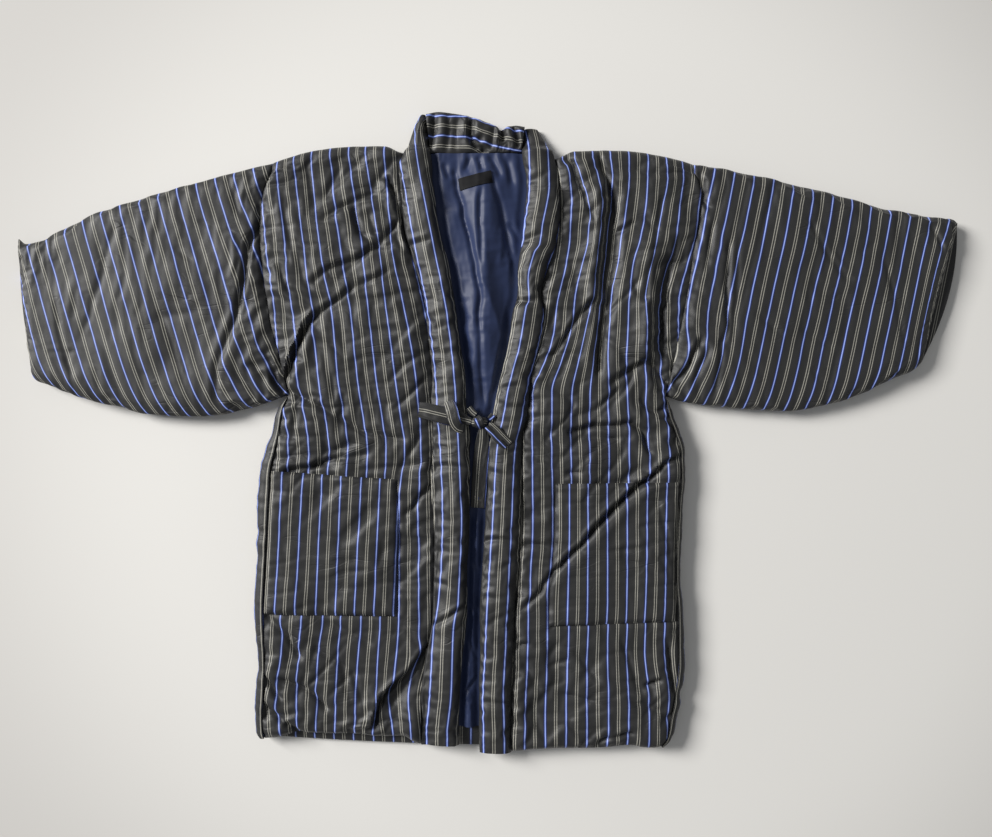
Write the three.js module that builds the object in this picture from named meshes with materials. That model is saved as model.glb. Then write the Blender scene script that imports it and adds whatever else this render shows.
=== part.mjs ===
// A hanten, the padded Japanese house coat, laid flat on its back.
// Millimetres, +Z up, the collar towards +Y, the origin under the middle of the garment.
// Left and right are the wearer's, so the right side of the garment is at -X.
import * as THREE from 'three';

// Levels of the cloth layers above the floor
const seamGap = 0.3;
const backTop = 11;
const liningBottom = backTop + seamGap;
const liningTop = liningBottom + 1.2;
const frontBottom = 12;
const frontTop = 24.5;
const collarBottom = liningTop + 0.5;
const foldCentre = 12;
const shoulderRoll = 13;
const innerRoll = 0.8;
const pocketThickness = 2.6;
const neckSeamY = 389;

// Right front panel. Columns: y at the collar seam, x and y at the side, rounding of the row (1 is full height)
const frontRightRows = [
  { y: -436, sideX: -310, sideY: -426, full: 0.55 },
  { y: -427, sideX: -312, sideY: -417, full: 0.93 },
  { y: -400, sideX: -313, sideY: -396, full: 1 },
  { y: -369, sideX: -311, sideY: -367, full: 1 },
  { y: -312, sideX: -310, sideY: -318, full: 1 },
  { y: -258, sideX: -312, sideY: -255, full: 1 },
  { y: -206, sideX: -310, sideY: -200, full: 1 },
  { y: -145, sideX: -307, sideY: -140, full: 1 },
  { y: -100, sideX: -304, sideY: -88, full: 1 },
  { y: -71, sideX: -302, sideY: -56, full: 1 },
  { y: -35, sideX: -295, sideY: -25, full: 1 },
  { y: -7, sideX: -289, sideY: 5, full: 1 },
  { y: 20, sideX: -285, sideY: 30, full: 1 },
  { y: 48, sideX: -276, sideY: 52, full: 0.9 },
  { y: 73, sideX: -284, sideY: 82, full: 1 },
  { y: 105, sideX: -290, sideY: 112, full: 1 },
  { y: 143, sideX: -300, sideY: 148, full: 1 },
  { y: 175, sideX: -306, sideY: 182, full: 1 },
  { y: 210, sideX: -311, sideY: 218, full: 1 },
  { y: 244, sideX: -315, sideY: 255, full: 1 },
  { y: 281, sideX: -316, sideY: 291, full: 1 },
  { y: 326, sideX: -312, sideY: 330, full: 1 },
  { y: 355, sideX: -305, sideY: 350, full: 1 },
  { y: 386, sideX: -299, sideY: 363, full: 1 },
];

// Left front panel, with the same columns
const frontLeftRows = [
  { y: -444, sideX: 243, sideY: -438, full: 0.55 },
  { y: -435, sideX: 250, sideY: -428, full: 0.93 },
  { y: -405, sideX: 256, sideY: -400, full: 1 },
  { y: -369, sideX: 262, sideY: -367, full: 1 },
  { y: -320, sideX: 267, sideY: -318, full: 1 },
  { y: -274, sideX: 267, sideY: -265, full: 1 },
  { y: -206, sideX: 264, sideY: -200, full: 1 },
  { y: -145, sideX: 266, sideY: -140, full: 1 },
  { y: -100, sideX: 269, sideY: -95, full: 1 },
  { y: -72, sideX: 271, sideY: -70, full: 1 },
  { y: -35, sideX: 270, sideY: -30, full: 1 },
  { y: -7, sideX: 262, sideY: 0, full: 1 },
  { y: 20, sideX: 253, sideY: 25, full: 1 },
  { y: 48, sideX: 249, sideY: 50, full: 0.9 },
  { y: 73, sideX: 254, sideY: 75, full: 1 },
  { y: 105, sideX: 262, sideY: 110, full: 1 },
  { y: 143, sideX: 270, sideY: 148, full: 1 },
  { y: 175, sideX: 277, sideY: 185, full: 1 },
  { y: 210, sideX: 283, sideY: 220, full: 1 },
  { y: 244, sideX: 288, sideY: 255, full: 1 },
  { y: 281, sideX: 295, sideY: 290, full: 1 },
  { y: 326, sideX: 299, sideY: 328, full: 1 },
  { y: 355, sideX: 295, sideY: 348, full: 1 },
  { y: 378, sideX: 288, sideY: 361, full: 1 },
];
const frontUnderarmRow = 13;
const pocketHemRow = 5;
const pocketMouthRow = 9;
const frontShoulderBow = 10;

// Columns of a front panel, as shares from the collar seam to the side, with their height (1 is full)
const frontColumns = [
  { share: 0, full: 0.66 },
  { share: 0.035, full: 0.92 },
  { share: 0.1, full: 1.03 },
  { share: 0.21, full: 1.05 },
  { share: 0.32, full: 1.06 },
  { share: 0.45, full: 1.07 },
  { share: 0.58, full: 1.07 },
  { share: 0.7, full: 1.07 },
  { share: 0.8, full: 1.06 },
  { share: 0.9, full: 1.04 },
  { share: 0.965, full: 0.98 },
  { share: 1, full: 0.8 },
];
const pocketFirstColumn = 3;
const pocketLastColumn = 10;

// Collar band. Columns: y, x of the seam with the front, x of the free edge, underside and puff of the band
const collarRightRows = [
  { y: -440, seam: -91.5, edge: -39, under: collarBottom, puff: 0.7 },
  { y: -369, seam: -91.5, edge: -38, under: collarBottom, puff: 1 },
  { y: -312, seam: -85, edge: -34, under: collarBottom, puff: 1.03 },
  { y: -260, seam: -76, edge: -28, under: collarBottom, puff: 0.97 },
  { y: -206, seam: -74, edge: -27, under: collarBottom, puff: 1.04 },
  { y: -145, seam: -73, edge: -25, under: collarBottom, puff: 0.98 },
  { y: -70, seam: -78, edge: -23, under: collarBottom, puff: 1.02 },
  { y: -7, seam: -75, edge: -23, under: collarBottom, puff: 0.95 },
  { y: 45, seam: -78, edge: -29, under: collarBottom, puff: 0.97 },
  { y: 73, seam: -76, edge: -30, under: collarBottom, puff: 1.03 },
  { y: 143, seam: -83, edge: -39, under: collarBottom, puff: 1 },
  { y: 175, seam: -86, edge: -43, under: collarBottom, puff: 1.05 },
  { y: 244, seam: -104, edge: -55, under: collarBottom, puff: 1 },
  { y: 281, seam: -114, edge: -65, under: collarBottom, puff: 1.04 },
  { y: 326, seam: -119, edge: -72, under: collarBottom, puff: 1 },
  { y: 369, seam: -123, edge: -76, under: collarBottom, puff: 1.02 },
  { y: 386, seam: -117, edge: -78, under: collarBottom, puff: 1 },
  { y: 389.5, seam: -115.5, edge: -79, under: collarBottom, puff: 0.98 },
  { y: 394, seam: -113.5, edge: -79.5, under: 6, puff: 0.97 },
  { y: 401, seam: -111, edge: -80, under: 0.3, puff: 0.95 },
  { y: 431, seam: -101, edge: -84, under: 0, puff: 0.8 },
  { y: 445, seam: -94, edge: -86, under: 1, puff: 0.55 },
];
const collarLeftRows = [
  { y: -449, seam: 34, edge: -10, under: collarBottom, puff: 0.7 },
  { y: -420, seam: 33, edge: -11, under: collarBottom, puff: 1 },
  { y: -369, seam: 34, edge: -11.5, under: collarBottom, puff: 1.03 },
  { y: -334, seam: 36, edge: -11, under: collarBottom, puff: 0.98 },
  { y: -247, seam: 39, edge: -10, under: collarBottom, puff: 1.04 },
  { y: -166, seam: 46, edge: -5, under: collarBottom, puff: 0.95 },
  { y: -124, seam: 48, edge: -3, under: collarBottom, puff: 1.02 },
  { y: -70, seam: 48, edge: 1, under: collarBottom, puff: 0.98 },
  { y: -7, seam: 49, edge: 3, under: collarBottom, puff: 1.03 },
  { y: 20, seam: 56, edge: 7, under: collarBottom, puff: 0.95 },
  { y: 73, seam: 61, edge: 18, under: collarBottom, puff: 1.02 },
  { y: 143, seam: 77, edge: 32, under: collarBottom, puff: 0.97 },
  { y: 163, seam: 79, edge: 35, under: collarBottom, puff: 1.04 },
  { y: 192, seam: 76, edge: 41, under: collarBottom, puff: 0.92 },
  { y: 227, seam: 84, edge: 43, under: collarBottom, puff: 1.02 },
  { y: 265, seam: 97, edge: 48, under: collarBottom, puff: 0.98 },
  { y: 309, seam: 102, edge: 52, under: collarBottom, puff: 1.04 },
  { y: 351, seam: 100, edge: 55, under: collarBottom, puff: 1 },
  { y: 378, seam: 95, edge: 50, under: collarBottom, puff: 1 },
  { y: 389.5, seam: 91.5, edge: 48.5, under: collarBottom, puff: 1 },
  { y: 394, seam: 89.5, edge: 48.7, under: 6, puff: 0.95 },
  { y: 401, seam: 85.5, edge: 49, under: 0.3, puff: 0.9 },
  { y: 425, seam: 71, edge: 51.5, under: 1, puff: 0.6 },
];
// Section across the band, as shares from the seam to the free edge: top height above its underside and lift
const collarColumns = [
  { share: 0, top: 8, lift: 0 },
  { share: 0.07, top: 12, lift: 0 },
  { share: 0.22, top: 15.5, lift: 0 },
  { share: 0.45, top: 17, lift: 0 },
  { share: 0.7, top: 16.5, lift: 0 },
  { share: 0.88, top: 14, lift: 0.3 },
  { share: 0.97, top: 10.5, lift: 1.6 },
  { share: 1, top: 7.5, lift: 4 },
];

// Collar behind the neck, its inner face up. Columns: point on the seam with the back, point on the top edge
const collarNeckRows = [
  { seamX: -78.4, seamY: 391, edgeX: -84.6, edgeY: 446 },
  { seamX: -66, seamY: 390, edgeX: -68, edgeY: 448.5 },
  { seamX: -44, seamY: 390, edgeX: -46, edgeY: 446 },
  { seamX: -20, seamY: 390, edgeX: -20, edgeY: 441 },
  { seamX: 0, seamY: 390, edgeX: 0, edgeY: 434 },
  { seamX: 14, seamY: 390, edgeX: 14, edgeY: 427 },
  { seamX: 20, seamY: 390, edgeX: 20, edgeY: 423 },
  { seamX: 27, seamY: 390, edgeX: 28, edgeY: 427 },
  { seamX: 38, seamY: 390, edgeX: 40, edgeY: 429.5 },
  { seamX: 48, seamY: 391, edgeX: 50.4, edgeY: 427 },
];
const neckSection = [
  { share: 0, top: 9, lift: 0 },
  { share: 0.08, top: 13, lift: 0 },
  { share: 0.3, top: 16, lift: 0 },
  { share: 0.6, top: 18.5, lift: 0 },
  { share: 0.85, top: 19, lift: 0 },
  { share: 0.96, top: 15, lift: 1.5 },
  { share: 1, top: 10, lift: 4 },
];

// Sleeves. Columns: top and bottom point of the section, sideways bow, height, how far the front layer
// stops short of the back layer
const sleeveRightRows = [
  { topX: -331, topY: 368, bottomX: -307, bottomY: 41, bow: -15, height: 27, short: 0 },
  { topX: -380, topY: 355.5, bottomX: -355, bottomY: 28, bow: -8, height: 28, short: 0 },
  { topX: -431, topY: 342, bottomX: -414, bottomY: 21.6, bow: -4, height: 29, short: 0 },
  { topX: -483, topY: 327.5, bottomX: -468, bottomY: 25, bow: -3, height: 29, short: 0 },
  { topX: -538, topY: 309.5, bottomX: -518, bottomY: 36, bow: -3, height: 29, short: 0 },
  { topX: -590, topY: 284, bottomX: -566, bottomY: 48, bow: -4, height: 28, short: 0 },
  { topX: -622, topY: 268, bottomX: -604, bottomY: 62, bow: -4, height: 27, short: 0 },
  { topX: -645, topY: 264, bottomX: -626, bottomY: 71, bow: -5, height: 25, short: 3 },
  { topX: -655, topY: 271, bottomX: -634, bottomY: 76, bow: -6, height: 17, short: 5 },
];
const sleeveLeftRows = [
  { topX: 317, topY: 371, bottomX: 276, bottomY: 41, bow: 13, height: 27, short: 0 },
  { topX: 362, topY: 361.5, bottomX: 316, bottomY: 36, bow: 9, height: 28, short: 0 },
  { topX: 404, topY: 352.5, bottomX: 364, bottomY: 31.5, bow: 5, height: 29, short: 0 },
  { topX: 453.5, topY: 340, bottomX: 414, bottomY: 29.5, bow: 4, height: 29, short: 0 },
  { topX: 507, topY: 327, bottomX: 466, bottomY: 36, bow: 6, height: 29, short: 0 },
  { topX: 560, topY: 311.5, bottomX: 513, bottomY: 51, bow: 9, height: 28, short: 0 },
  { topX: 606, topY: 304, bottomX: 557, bottomY: 69, bow: 13, height: 27, short: 2 },
  { topX: 640, topY: 298, bottomX: 590, bottomY: 85, bow: 16, height: 25, short: 12 },
  { topX: 651, topY: 292, bottomX: 608, bottomY: 98, bow: 17, height: 17, short: 16 },
];
// The flattened section of a sleeve: extra shares at its two edges, and how square its edges are
const sleeveEdgeShares = [0, 0.008, 0.03, 0.97, 0.992];
const sleeveSquareness = 12;
const armholeGap = 0.4;
const sleeveSlit = 1.6;
const sleeveEdgeWall = 0.034;

// Side gussets: how far the folded strip stands out from the side seam at each row of the front below the arm
const gussetRightReach = [12, 13, 12, 12, 11, 13, 12, 14.5, 17.5, 15, 14, 11, 9, 1.5];
const gussetLeftReach = [6, 8, 9, 9, 9, 7, 6, 6, 5, 5, 6, 7, 6, 1.5];
const gussetTopDrop = 4;
const gussetSection = [
  { share: 0, z: 23 },
  { share: 0.45, z: 22.2 },
  { share: 0.85, z: 18 },
  { share: 1, z: 12.5 },
  { share: 0.85, z: 5 },
  { share: 0.5, z: 0.8 },
  { share: 0.3, z: 0 },
  { share: 0, z: 0 },
  { share: 0, z: 11.6 },
  { share: 0.3, z: 12.2 },
  { share: 0, z: 12.8 },
];

// The largest folds: from and to points, half width, height (a trough is negative)
const folds = [
  { x0: -276, y0: 57, x1: -202, y1: 15, width: 22, height: -4 },
  { x0: -202, y0: 15, x1: -120, y1: -8, width: 20, height: -3.5 },
  { x0: -279, y0: -55, x1: -170, y1: -28, width: 20, height: -3 },
  { x0: -95, y0: -170, x1: -220, y1: -280, width: 24, height: 3.5 },
  { x0: -80, y0: -298, x1: -160, y1: -400, width: 22, height: -4 },
  { x0: -315, y0: -252, x1: -262, y1: -308, width: 20, height: -3 },
  { x0: -155, y0: 333, x1: -228, y1: 292, width: 20, height: -3 },
  { x0: -126, y0: 293, x1: -245, y1: 200, width: 22, height: -3 },
  { x0: 274, y0: -30, x1: 172, y1: -106, width: 24, height: -5 },
  { x0: 172, y0: -106, x1: 55, y1: -240, width: 24, height: -4.5 },
  { x0: 114, y0: 0, x1: 196, y1: 8, width: 18, height: -3 },
  { x0: 196, y0: 8, x1: 232, y1: -30, width: 18, height: -3 },
  { x0: 164, y0: 352, x1: 152, y1: 143, width: 18, height: -4 },
  { x0: 144, y0: 177, x1: 88, y1: 107, width: 18, height: -3 },
  { x0: -318, y0: 290, x1: -380, y1: 40, width: 26, height: -4 },
  { x0: -306, y0: 160, x1: -330, y1: 90, width: 20, height: 3 },
  { x0: 300, y0: 300, x1: 330, y1: 120, width: 26, height: -3 },
];

function foldHeight(x, y) {
  let height = 0;
  for (const fold of folds) {
    const dx = fold.x1 - fold.x0;
    const dy = fold.y1 - fold.y0;
    const length = Math.hypot(dx, dy);
    const along = THREE.MathUtils.clamp(((x - fold.x0) * dx + (y - fold.y0) * dy) / (length * length), 0, 1);
    const away = Math.hypot(x - fold.x0 - dx * along, y - fold.y0 - dy * along);
    height += fold.height * Math.exp(-((away / fold.width) ** 2));
  }
  return height;
}

function readRow(rows, key, at, column) {
  const first = rows[0];
  const last = rows[rows.length - 1];
  if (at <= first[key]) return first[column];
  if (at >= last[key]) return last[column];
  const k = rows.findIndex((row) => row[key] >= at);
  const share = (at - rows[k - 1][key]) / (rows[k][key] - rows[k - 1][key]);
  return THREE.MathUtils.lerp(rows[k - 1][column], rows[k][column], share);
}

// Makes one closed body and turns its faces outwards
function closedBody(points, faces) {
  let volume = 0;
  const flat = new Float32Array(points.flat());
  for (const [a, b, c] of faces) {
    const pa = new THREE.Vector3(...points[a]);
    const pb = new THREE.Vector3(...points[b]);
    const pc = new THREE.Vector3(...points[c]);
    volume += pa.dot(pb.cross(pc)) / 6;
  }
  const index = faces.flatMap(([a, b, c]) => (volume > 0 ? [a, b, c] : [a, c, b]));
  const geometry = new THREE.BufferGeometry();
  geometry.setAttribute('position', new THREE.BufferAttribute(flat, 3));
  geometry.setIndex(index);
  geometry.computeVertexNormals();
  return geometry;
}

// A sheet between two grids of points, closed round its border
function sheetBody(upper, lower) {
  const rows = upper.length;
  const columns = upper[0].length;
  const points = [...upper.flat(), ...lower.flat()];
  const half = rows * columns;
  const faces = [];
  for (let i = 0; i < rows - 1; i += 1) {
    for (let j = 0; j < columns - 1; j += 1) {
      const a = i * columns + j;
      const b = a + 1;
      const c = a + columns;
      const d = c + 1;
      faces.push([a, b, d], [a, d, c]);
      faces.push([a + half, d + half, b + half], [a + half, c + half, d + half]);
    }
  }
  const border = [];
  for (let j = 0; j < columns - 1; j += 1) border.push(j);
  for (let i = 0; i < rows - 1; i += 1) border.push(i * columns + columns - 1);
  for (let j = columns - 1; j > 0; j -= 1) border.push((rows - 1) * columns + j);
  for (let i = rows - 1; i > 0; i -= 1) border.push(i * columns);
  border.forEach((a, k) => {
    const b = border[(k + 1) % border.length];
    faces.push([a, a + half, b + half], [a, b + half, b]);
  });
  return closedBody(points, faces);
}

// A body swept through rings of points, closed at both ends or joined to an inner set of rings
function ringBody(rings) {
  const sides = rings[0].length;
  const points = rings.flat();
  const faces = [];
  for (let i = 0; i < rings.length - 1; i += 1) {
    for (let k = 0; k < sides; k += 1) {
      const a = i * sides + k;
      const b = i * sides + ((k + 1) % sides);
      faces.push([a, b, b + sides], [a, b + sides, a + sides]);
    }
  }
  return { points, faces, sides };
}

function cappedBody(rings) {
  const { points, faces, sides } = ringBody(rings);
  const last = (rings.length - 1) * sides;
  for (const [start, ring, turn] of [[0, rings[0], 1], [last, rings[rings.length - 1], -1]]) {
    const centre = points.length;
    points.push([0, 1, 2].map((axis) => ring.reduce((sum, point) => sum + point[axis], 0) / sides));
    for (let k = 0; k < sides; k += 1) {
      const a = start + k;
      const b = start + ((k + 1) % sides);
      faces.push(turn > 0 ? [centre, b, a] : [centre, a, b]);
    }
  }
  return closedBody(points, faces);
}

function hollowBody(outer, inner) {
  const loop = [...outer, ...[...inner].reverse()];
  const { points, faces, sides } = ringBody(loop);
  const last = (loop.length - 1) * sides;
  for (let k = 0; k < sides; k += 1) {
    const next = (k + 1) % sides;
    faces.push([last + k, last + next, next], [last + k, next, k]);
  }
  return closedBody(points, faces);
}

const garment = new THREE.Group();
const cloth = { stripe: 0x34353a, stripeShade: 0x2b2c30, lining: 0x1f2a4d, label: 0x14141a };

function addPiece(name, geometry, color, roughness) {
  const mesh = new THREE.Mesh(geometry, new THREE.MeshStandardMaterial({ color, roughness }));
  mesh.name = name;
  garment.add(mesh);
}

// Points of a front panel: across from the collar seam to the side, up from the hem, round the shoulder fold
function frontPoint(rows, collar, row, share) {
  const { y, sideX, sideY } = rows[row];
  const outwards = Math.sign(sideX);
  const seamX = readRow(collar, 'y', y, 'seam') + outwards * seamGap;
  const shoulder = Math.max(0, (row - 19) / (rows.length - 20));
  const bow = frontShoulderBow * shoulder * 4 * share * (1 - share) * (1.3 - 0.6 * (1 - share));
  return [THREE.MathUtils.lerp(seamX, sideX, share), THREE.MathUtils.lerp(y, sideY, share) + bow];
}

function frontGrids(rows, collar) {
  const upper = [];
  const lower = [];
  const last = rows.length - 1;
  rows.forEach((row, i) => {
    const line = frontColumns.map(({ share, full }) => {
      const [x, y] = frontPoint(rows, collar, i, share);
      const settle = i === last ? 0.5 : 1;
      const top = frontBottom + (frontTop - frontBottom) * full * row.full + foldHeight(x, y) * full * settle;
      return [x, y, top];
    });
    upper.push(line);
    lower.push(line.map(([x, y]) => [x, y, frontBottom + 0.6 * (1 - row.full)]));
  });
  const start = upper[last];
  for (const angle of [30, 60, 90, 120, 150, 180]) {
    const turn = THREE.MathUtils.degToRad(angle);
    upper.push(start.map(([x, y, top]) => {
      const rise = top - foldCentre;
      const radius = angle < 90 ? rise : foldCentre;
      return [x, y + shoulderRoll * Math.sin(turn), foldCentre + radius * Math.cos(turn)];
    }));
    lower.push(start.map(([x, y]) => {
      return [x, y + innerRoll * Math.sin(turn), foldCentre - innerRoll + innerRoll * Math.cos(turn)];
    }));
  }
  return { upper, lower };
}

const frontRight = frontGrids(frontRightRows, collarRightRows);
const frontLeft = frontGrids(frontLeftRows, collarLeftRows);
addPiece('front_right', sheetBody(frontRight.upper, frontRight.lower), cloth.stripe, 0.55);
addPiece('front_left', sheetBody(frontLeft.upper, frontLeft.lower), cloth.stripe, 0.55);

// Patch pockets, made from the points of the front under them
function pocketBody(front) {
  const raise = (lift) => front.upper
    .slice(pocketHemRow, pocketMouthRow + 1)
    .map((line) => line.slice(pocketFirstColumn, pocketLastColumn + 1).map(([x, y, z]) => [x, y, z + lift]));
  return sheetBody(raise(seamGap + pocketThickness), raise(seamGap));
}
addPiece('pocket_right', pocketBody(frontRight), cloth.stripe, 0.55);
addPiece('pocket_left', pocketBody(frontLeft), cloth.stripe, 0.55);

// Back panel between the two side seams, ending under the shoulder folds and at the neck seam
const backColumns = [0, 0.04, 0.12, 0.22, 0.31, 0.4, 0.5, 0.59, 0.67, 0.78, 0.88, 0.96, 1];
const backHemDrop = 7;
const backUpper = [];
const backLower = [];
const topRow = frontRightRows.length - 1;
const underFold = (rows, collar) => frontColumns.map(({ share }) => frontPoint(rows, collar, topRow, share));
const rightFold = underFold(frontRightRows, collarRightRows).map(([x, y]) => ({ x, y })).reverse();
const leftFold = underFold(frontLeftRows, collarLeftRows).map(([x, y]) => ({ x, y }));
const backTopEdge = [...rightFold, { x: -79, y: neckSeamY }, { x: 50, y: neckSeamY }, ...leftFold];
frontRightRows.forEach((right, i) => {
  const left = frontLeftRows[i];
  const line = backColumns.map((share) => {
    const x = THREE.MathUtils.lerp(right.sideX, left.sideX, share);
    let y = THREE.MathUtils.lerp(right.sideY, left.sideY, share);
    const belly = 4 * share * (1 - share);
    if (i < 2) y -= backHemDrop * belly;
    if (i === topRow) y = readRow(backTopEdge, 'x', x, 'y') - seamGap - 0.4;
    if (i === topRow - 1) y += 10 * belly;
    return [x, y];
  });
  backUpper.push(line.map(([x, y]) => [x, y, i === 0 ? 7 : backTop]));
  backLower.push(line.map(([x, y]) => [x, y, 0]));
});
addPiece('back', sheetBody(backUpper, backLower), cloth.stripeShade, 0.55);

// Lining of the back, as wide as it shows between the collar bands and half of each band more
const liningLevels = [-411, -369, -312, -260, -206, -145, -70, -7, 45, 73, 143, 175, 210, 244, 281, 326, 355, 386];
const liningShares = [0, 0.18, 0.34, 0.5, 0.66, 0.82, 1];
const liningFold = 2.2;
const liningUpper = [];
const liningLower = [];
liningLevels.forEach((y, i) => {
  const middle = (rows) => (readRow(rows, 'y', y, 'seam') + readRow(rows, 'y', y, 'edge')) / 2;
  const from = middle(collarRightRows);
  const to = middle(collarLeftRows);
  const open = y > 100 && y < 320 ? 1 : 0;
  const line = liningShares.map((share, j) => {
    const lift = open * liningFold * (j === 3 ? 1 : 0) * (i % 2 === 0 ? 1 : 0.6);
    return [THREE.MathUtils.lerp(from, to, share), y, lift];
  });
  liningUpper.push(line.map(([x, level, lift]) => [x, level, liningTop + lift]));
  liningLower.push(line.map(([x, level]) => [x, level, liningBottom]));
});
addPiece('lining', sheetBody(liningUpper, liningLower), cloth.lining, 0.45);

// Collar bands, their rows taken at the rows of the front so that the seam runs true
function collarBody(rows, front, sample) {
  const levels = [...new Set([...front.map((row) => row.y), ...sample])].sort((a, b) => a - b);
  const upper = [];
  const lower = [];
  for (const y of levels) {
    const seam = readRow(rows, 'y', y, 'seam');
    const edge = readRow(rows, 'y', y, 'edge');
    const under = readRow(rows, 'y', y, 'under');
    const puff = readRow(rows, 'y', y, 'puff');
    upper.push(collarColumns.map(({ share, top }) => [THREE.MathUtils.lerp(seam, edge, share), y, under + top * puff]));
    lower.push(collarColumns.map(({ share, lift }) => [THREE.MathUtils.lerp(seam, edge, share), y, under + lift]));
  }
  return sheetBody(upper, lower);
}
addPiece('collar_right', collarBody(collarRightRows, frontRightRows, [-440, 389.5, 394, 401, 415, 431, 445]), cloth.stripe, 0.55);
addPiece('collar_left', collarBody(collarLeftRows, frontLeftRows, [-449, 389.5, 394, 401, 412, 425]), cloth.stripe, 0.55);

const neckUpper = [];
const neckLower = [];
for (const { seamX, seamY, edgeX, edgeY } of collarNeckRows) {
  const { lerp } = THREE.MathUtils;
  neckUpper.push(neckSection.map(({ share, top }) => [lerp(seamX, edgeX, share), lerp(seamY, edgeY, share), top]));
  neckLower.push(neckSection.map(({ share, lift }) => [lerp(seamX, edgeX, share), lerp(seamY, edgeY, share), lift]));
}
addPiece('collar_neck', sheetBody(neckUpper, neckLower), cloth.stripe, 0.55);

// Sleeves, one cloth folded along the top edge, hollow from the armhole to the cuff
function sleeveBody(front, rows, side) {
  const arm = front.slice(frontUnderarmRow).map((row) => ({ y: row.sideY, x: row.sideX }));
  const shoulderY = front[front.length - 1].sideY + shoulderRoll;
  arm.push({ y: shoulderY, x: arm[arm.length - 1].x });
  const outer = [];
  const inner = [];
  const shares = [...sleeveEdgeShares, ...arm.map((point) => (shoulderY - point.y) / (shoulderY - arm[0].y))];
  const section = [...new Set(shares)].sort((a, b) => a - b).map((share) => {
    const full = Math.sqrt(Math.max(0, 1 - Math.abs(2 * share - 1) ** sleeveSquareness));
    const inset = share + sleeveEdgeWall * (1 - 2 * share) ** 9;
    return { share, inset, full };
  });
  const around = section.map((point) => ({ ...point, up: 1 }));
  around.push(...section.slice(1, -1).reverse().map((point) => ({ ...point, up: -1 })));
  const place = (row, share) => {
    if (row === null) {
      const y = THREE.MathUtils.lerp(shoulderY, arm[0].y, share);
      return [readRow(arm, 'y', y, 'x') + side * armholeGap, y];
    }
    const bow = row.bow * 4 * share * (1 - share);
    return [
      THREE.MathUtils.lerp(row.topX, row.bottomX, share) + bow,
      THREE.MathUtils.lerp(row.topY, row.bottomY, share),
    ];
  };
  for (const row of [null, ...rows]) {
    const height = row ? row.height : 25.5;
    const short = row ? row.short : 0;
    const level = foldCentre + (row ? 0.6 : 0);
    outer.push(around.map(({ share, full, up }) => {
      const [x, y] = place(row, share);
      const back = up > 0 ? side * short * 4 * share * (1 - share) : 0;
      const tall = up > 0 ? height - level : Math.min(level, height / 2 + 2);
      const fold = up > 0 ? foldHeight(x, y) * full * full : 0;
      return [x - back, y, level + up * tall * full + fold];
    }));
    inner.push(around.map(({ share, inset, full, up }) => {
      const [x, y] = place(row, inset);
      const back = (up > 0 ? side * short * 4 * share * (1 - share) : 0) - (row ? 0 : side * armholeGap);
      return [x - back, y, level + (up * sleeveSlit * full) / 2];
    }));
  }
  return hollowBody(outer, inner);
}
addPiece('sleeve_right', sleeveBody(frontRightRows, sleeveRightRows, -1), cloth.stripe, 0.55);
addPiece('sleeve_left', sleeveBody(frontLeftRows, sleeveLeftRows, 1), cloth.stripe, 0.55);

// Side gussets, folded round the side from the front to the back
function gussetBody(front, reach) {
  const rings = reach.map((out, i) => {
    const side = Math.sign(front[i].sideX);
    const drop = i === frontUnderarmRow ? gussetTopDrop : 0;
    const line = front.slice(0, frontUnderarmRow + 1).map((row) => ({ y: row.sideY, x: row.sideX }));
    const y = front[i].sideY - drop;
    const seamX = readRow(line, 'y', y, 'x');
    return gussetSection.map(({ share, z }) => [seamX + side * (seamGap + out * share), y, z]);
  });
  return cappedBody(rings);
}
addPiece('gusset_right', gussetBody(frontRightRows, gussetRightReach), cloth.stripeShade, 0.55);
addPiece('gusset_left', gussetBody(frontLeftRows, gussetLeftReach), cloth.stripeShade, 0.55);

// Ties, flat strips of the striped cloth. Columns: middle line, width and thickness
const tieLoopRows = [
  { x: -94, y: 31, z: 30.5, width: 21, thick: 2.4 },
  { x: -76, y: 28, z: 32.5, width: 22, thick: 2.6 },
  { x: -54, y: 23, z: 33.6, width: 24, thick: 4 },
  { x: -40, y: 21, z: 33.8, width: 28, thick: 5 },
  { x: -31, y: 18, z: 33, width: 22, thick: 5 },
  { x: -21.9, y: 15, z: 29.5, width: 10, thick: 5 },
];
const tieEndRows = [
  { x: 2, y: 9, z: 31.5, width: 9, thick: 4 },
  { x: 11, y: 1, z: 33, width: 13, thick: 3.6 },
  { x: 21, y: -9, z: 33.4, width: 14, thick: 3 },
  { x: 29, y: -17, z: 33, width: 12, thick: 2.6 },
];
const tieTailRows = [
  { x: -5, y: 5, z: 28, width: 11, thick: 5 },
  { x: -7, y: -12, z: 23, width: 17, thick: 3.6 },
  { x: -9.5, y: -35, z: 18, width: 19, thick: 3 },
  { x: -11.5, y: -70, z: 15.5, width: 19, thick: 2.8 },
  { x: -13, y: -105, z: 14.6, width: 18.5, thick: 2.8 },
];
const tieRootRightRows = [
  { x: -25.5, y: 34, z: 25.2, width: 10, thick: 2.4 },
  { x: -20.5, y: 28, z: 25.6, width: 10, thick: 2.4 },
  { x: -15.5, y: 24.2, z: 26, width: 8, thick: 2.4 },
];
const tieRootLeftRows = [
  { x: 9, y: 24, z: 26.2, width: 9, thick: 2.4 },
  { x: 5.5, y: 20.5, z: 26, width: 8, thick: 2.4 },
  { x: 2.6, y: 18.5, z: 26, width: 6, thick: 2.4 },
];
const knotRows = [
  { x: -21, y: 14, z: 28, width: 8, thick: 7 },
  { x: -17, y: 14, z: 28, width: 14, thick: 12 },
  { x: -10, y: 14, z: 28, width: 15.5, thick: 14 },
  { x: -3, y: 14, z: 28, width: 13, thick: 11.5 },
  { x: 0.5, y: 13.5, z: 28, width: 7, thick: 6 },
];
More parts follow.
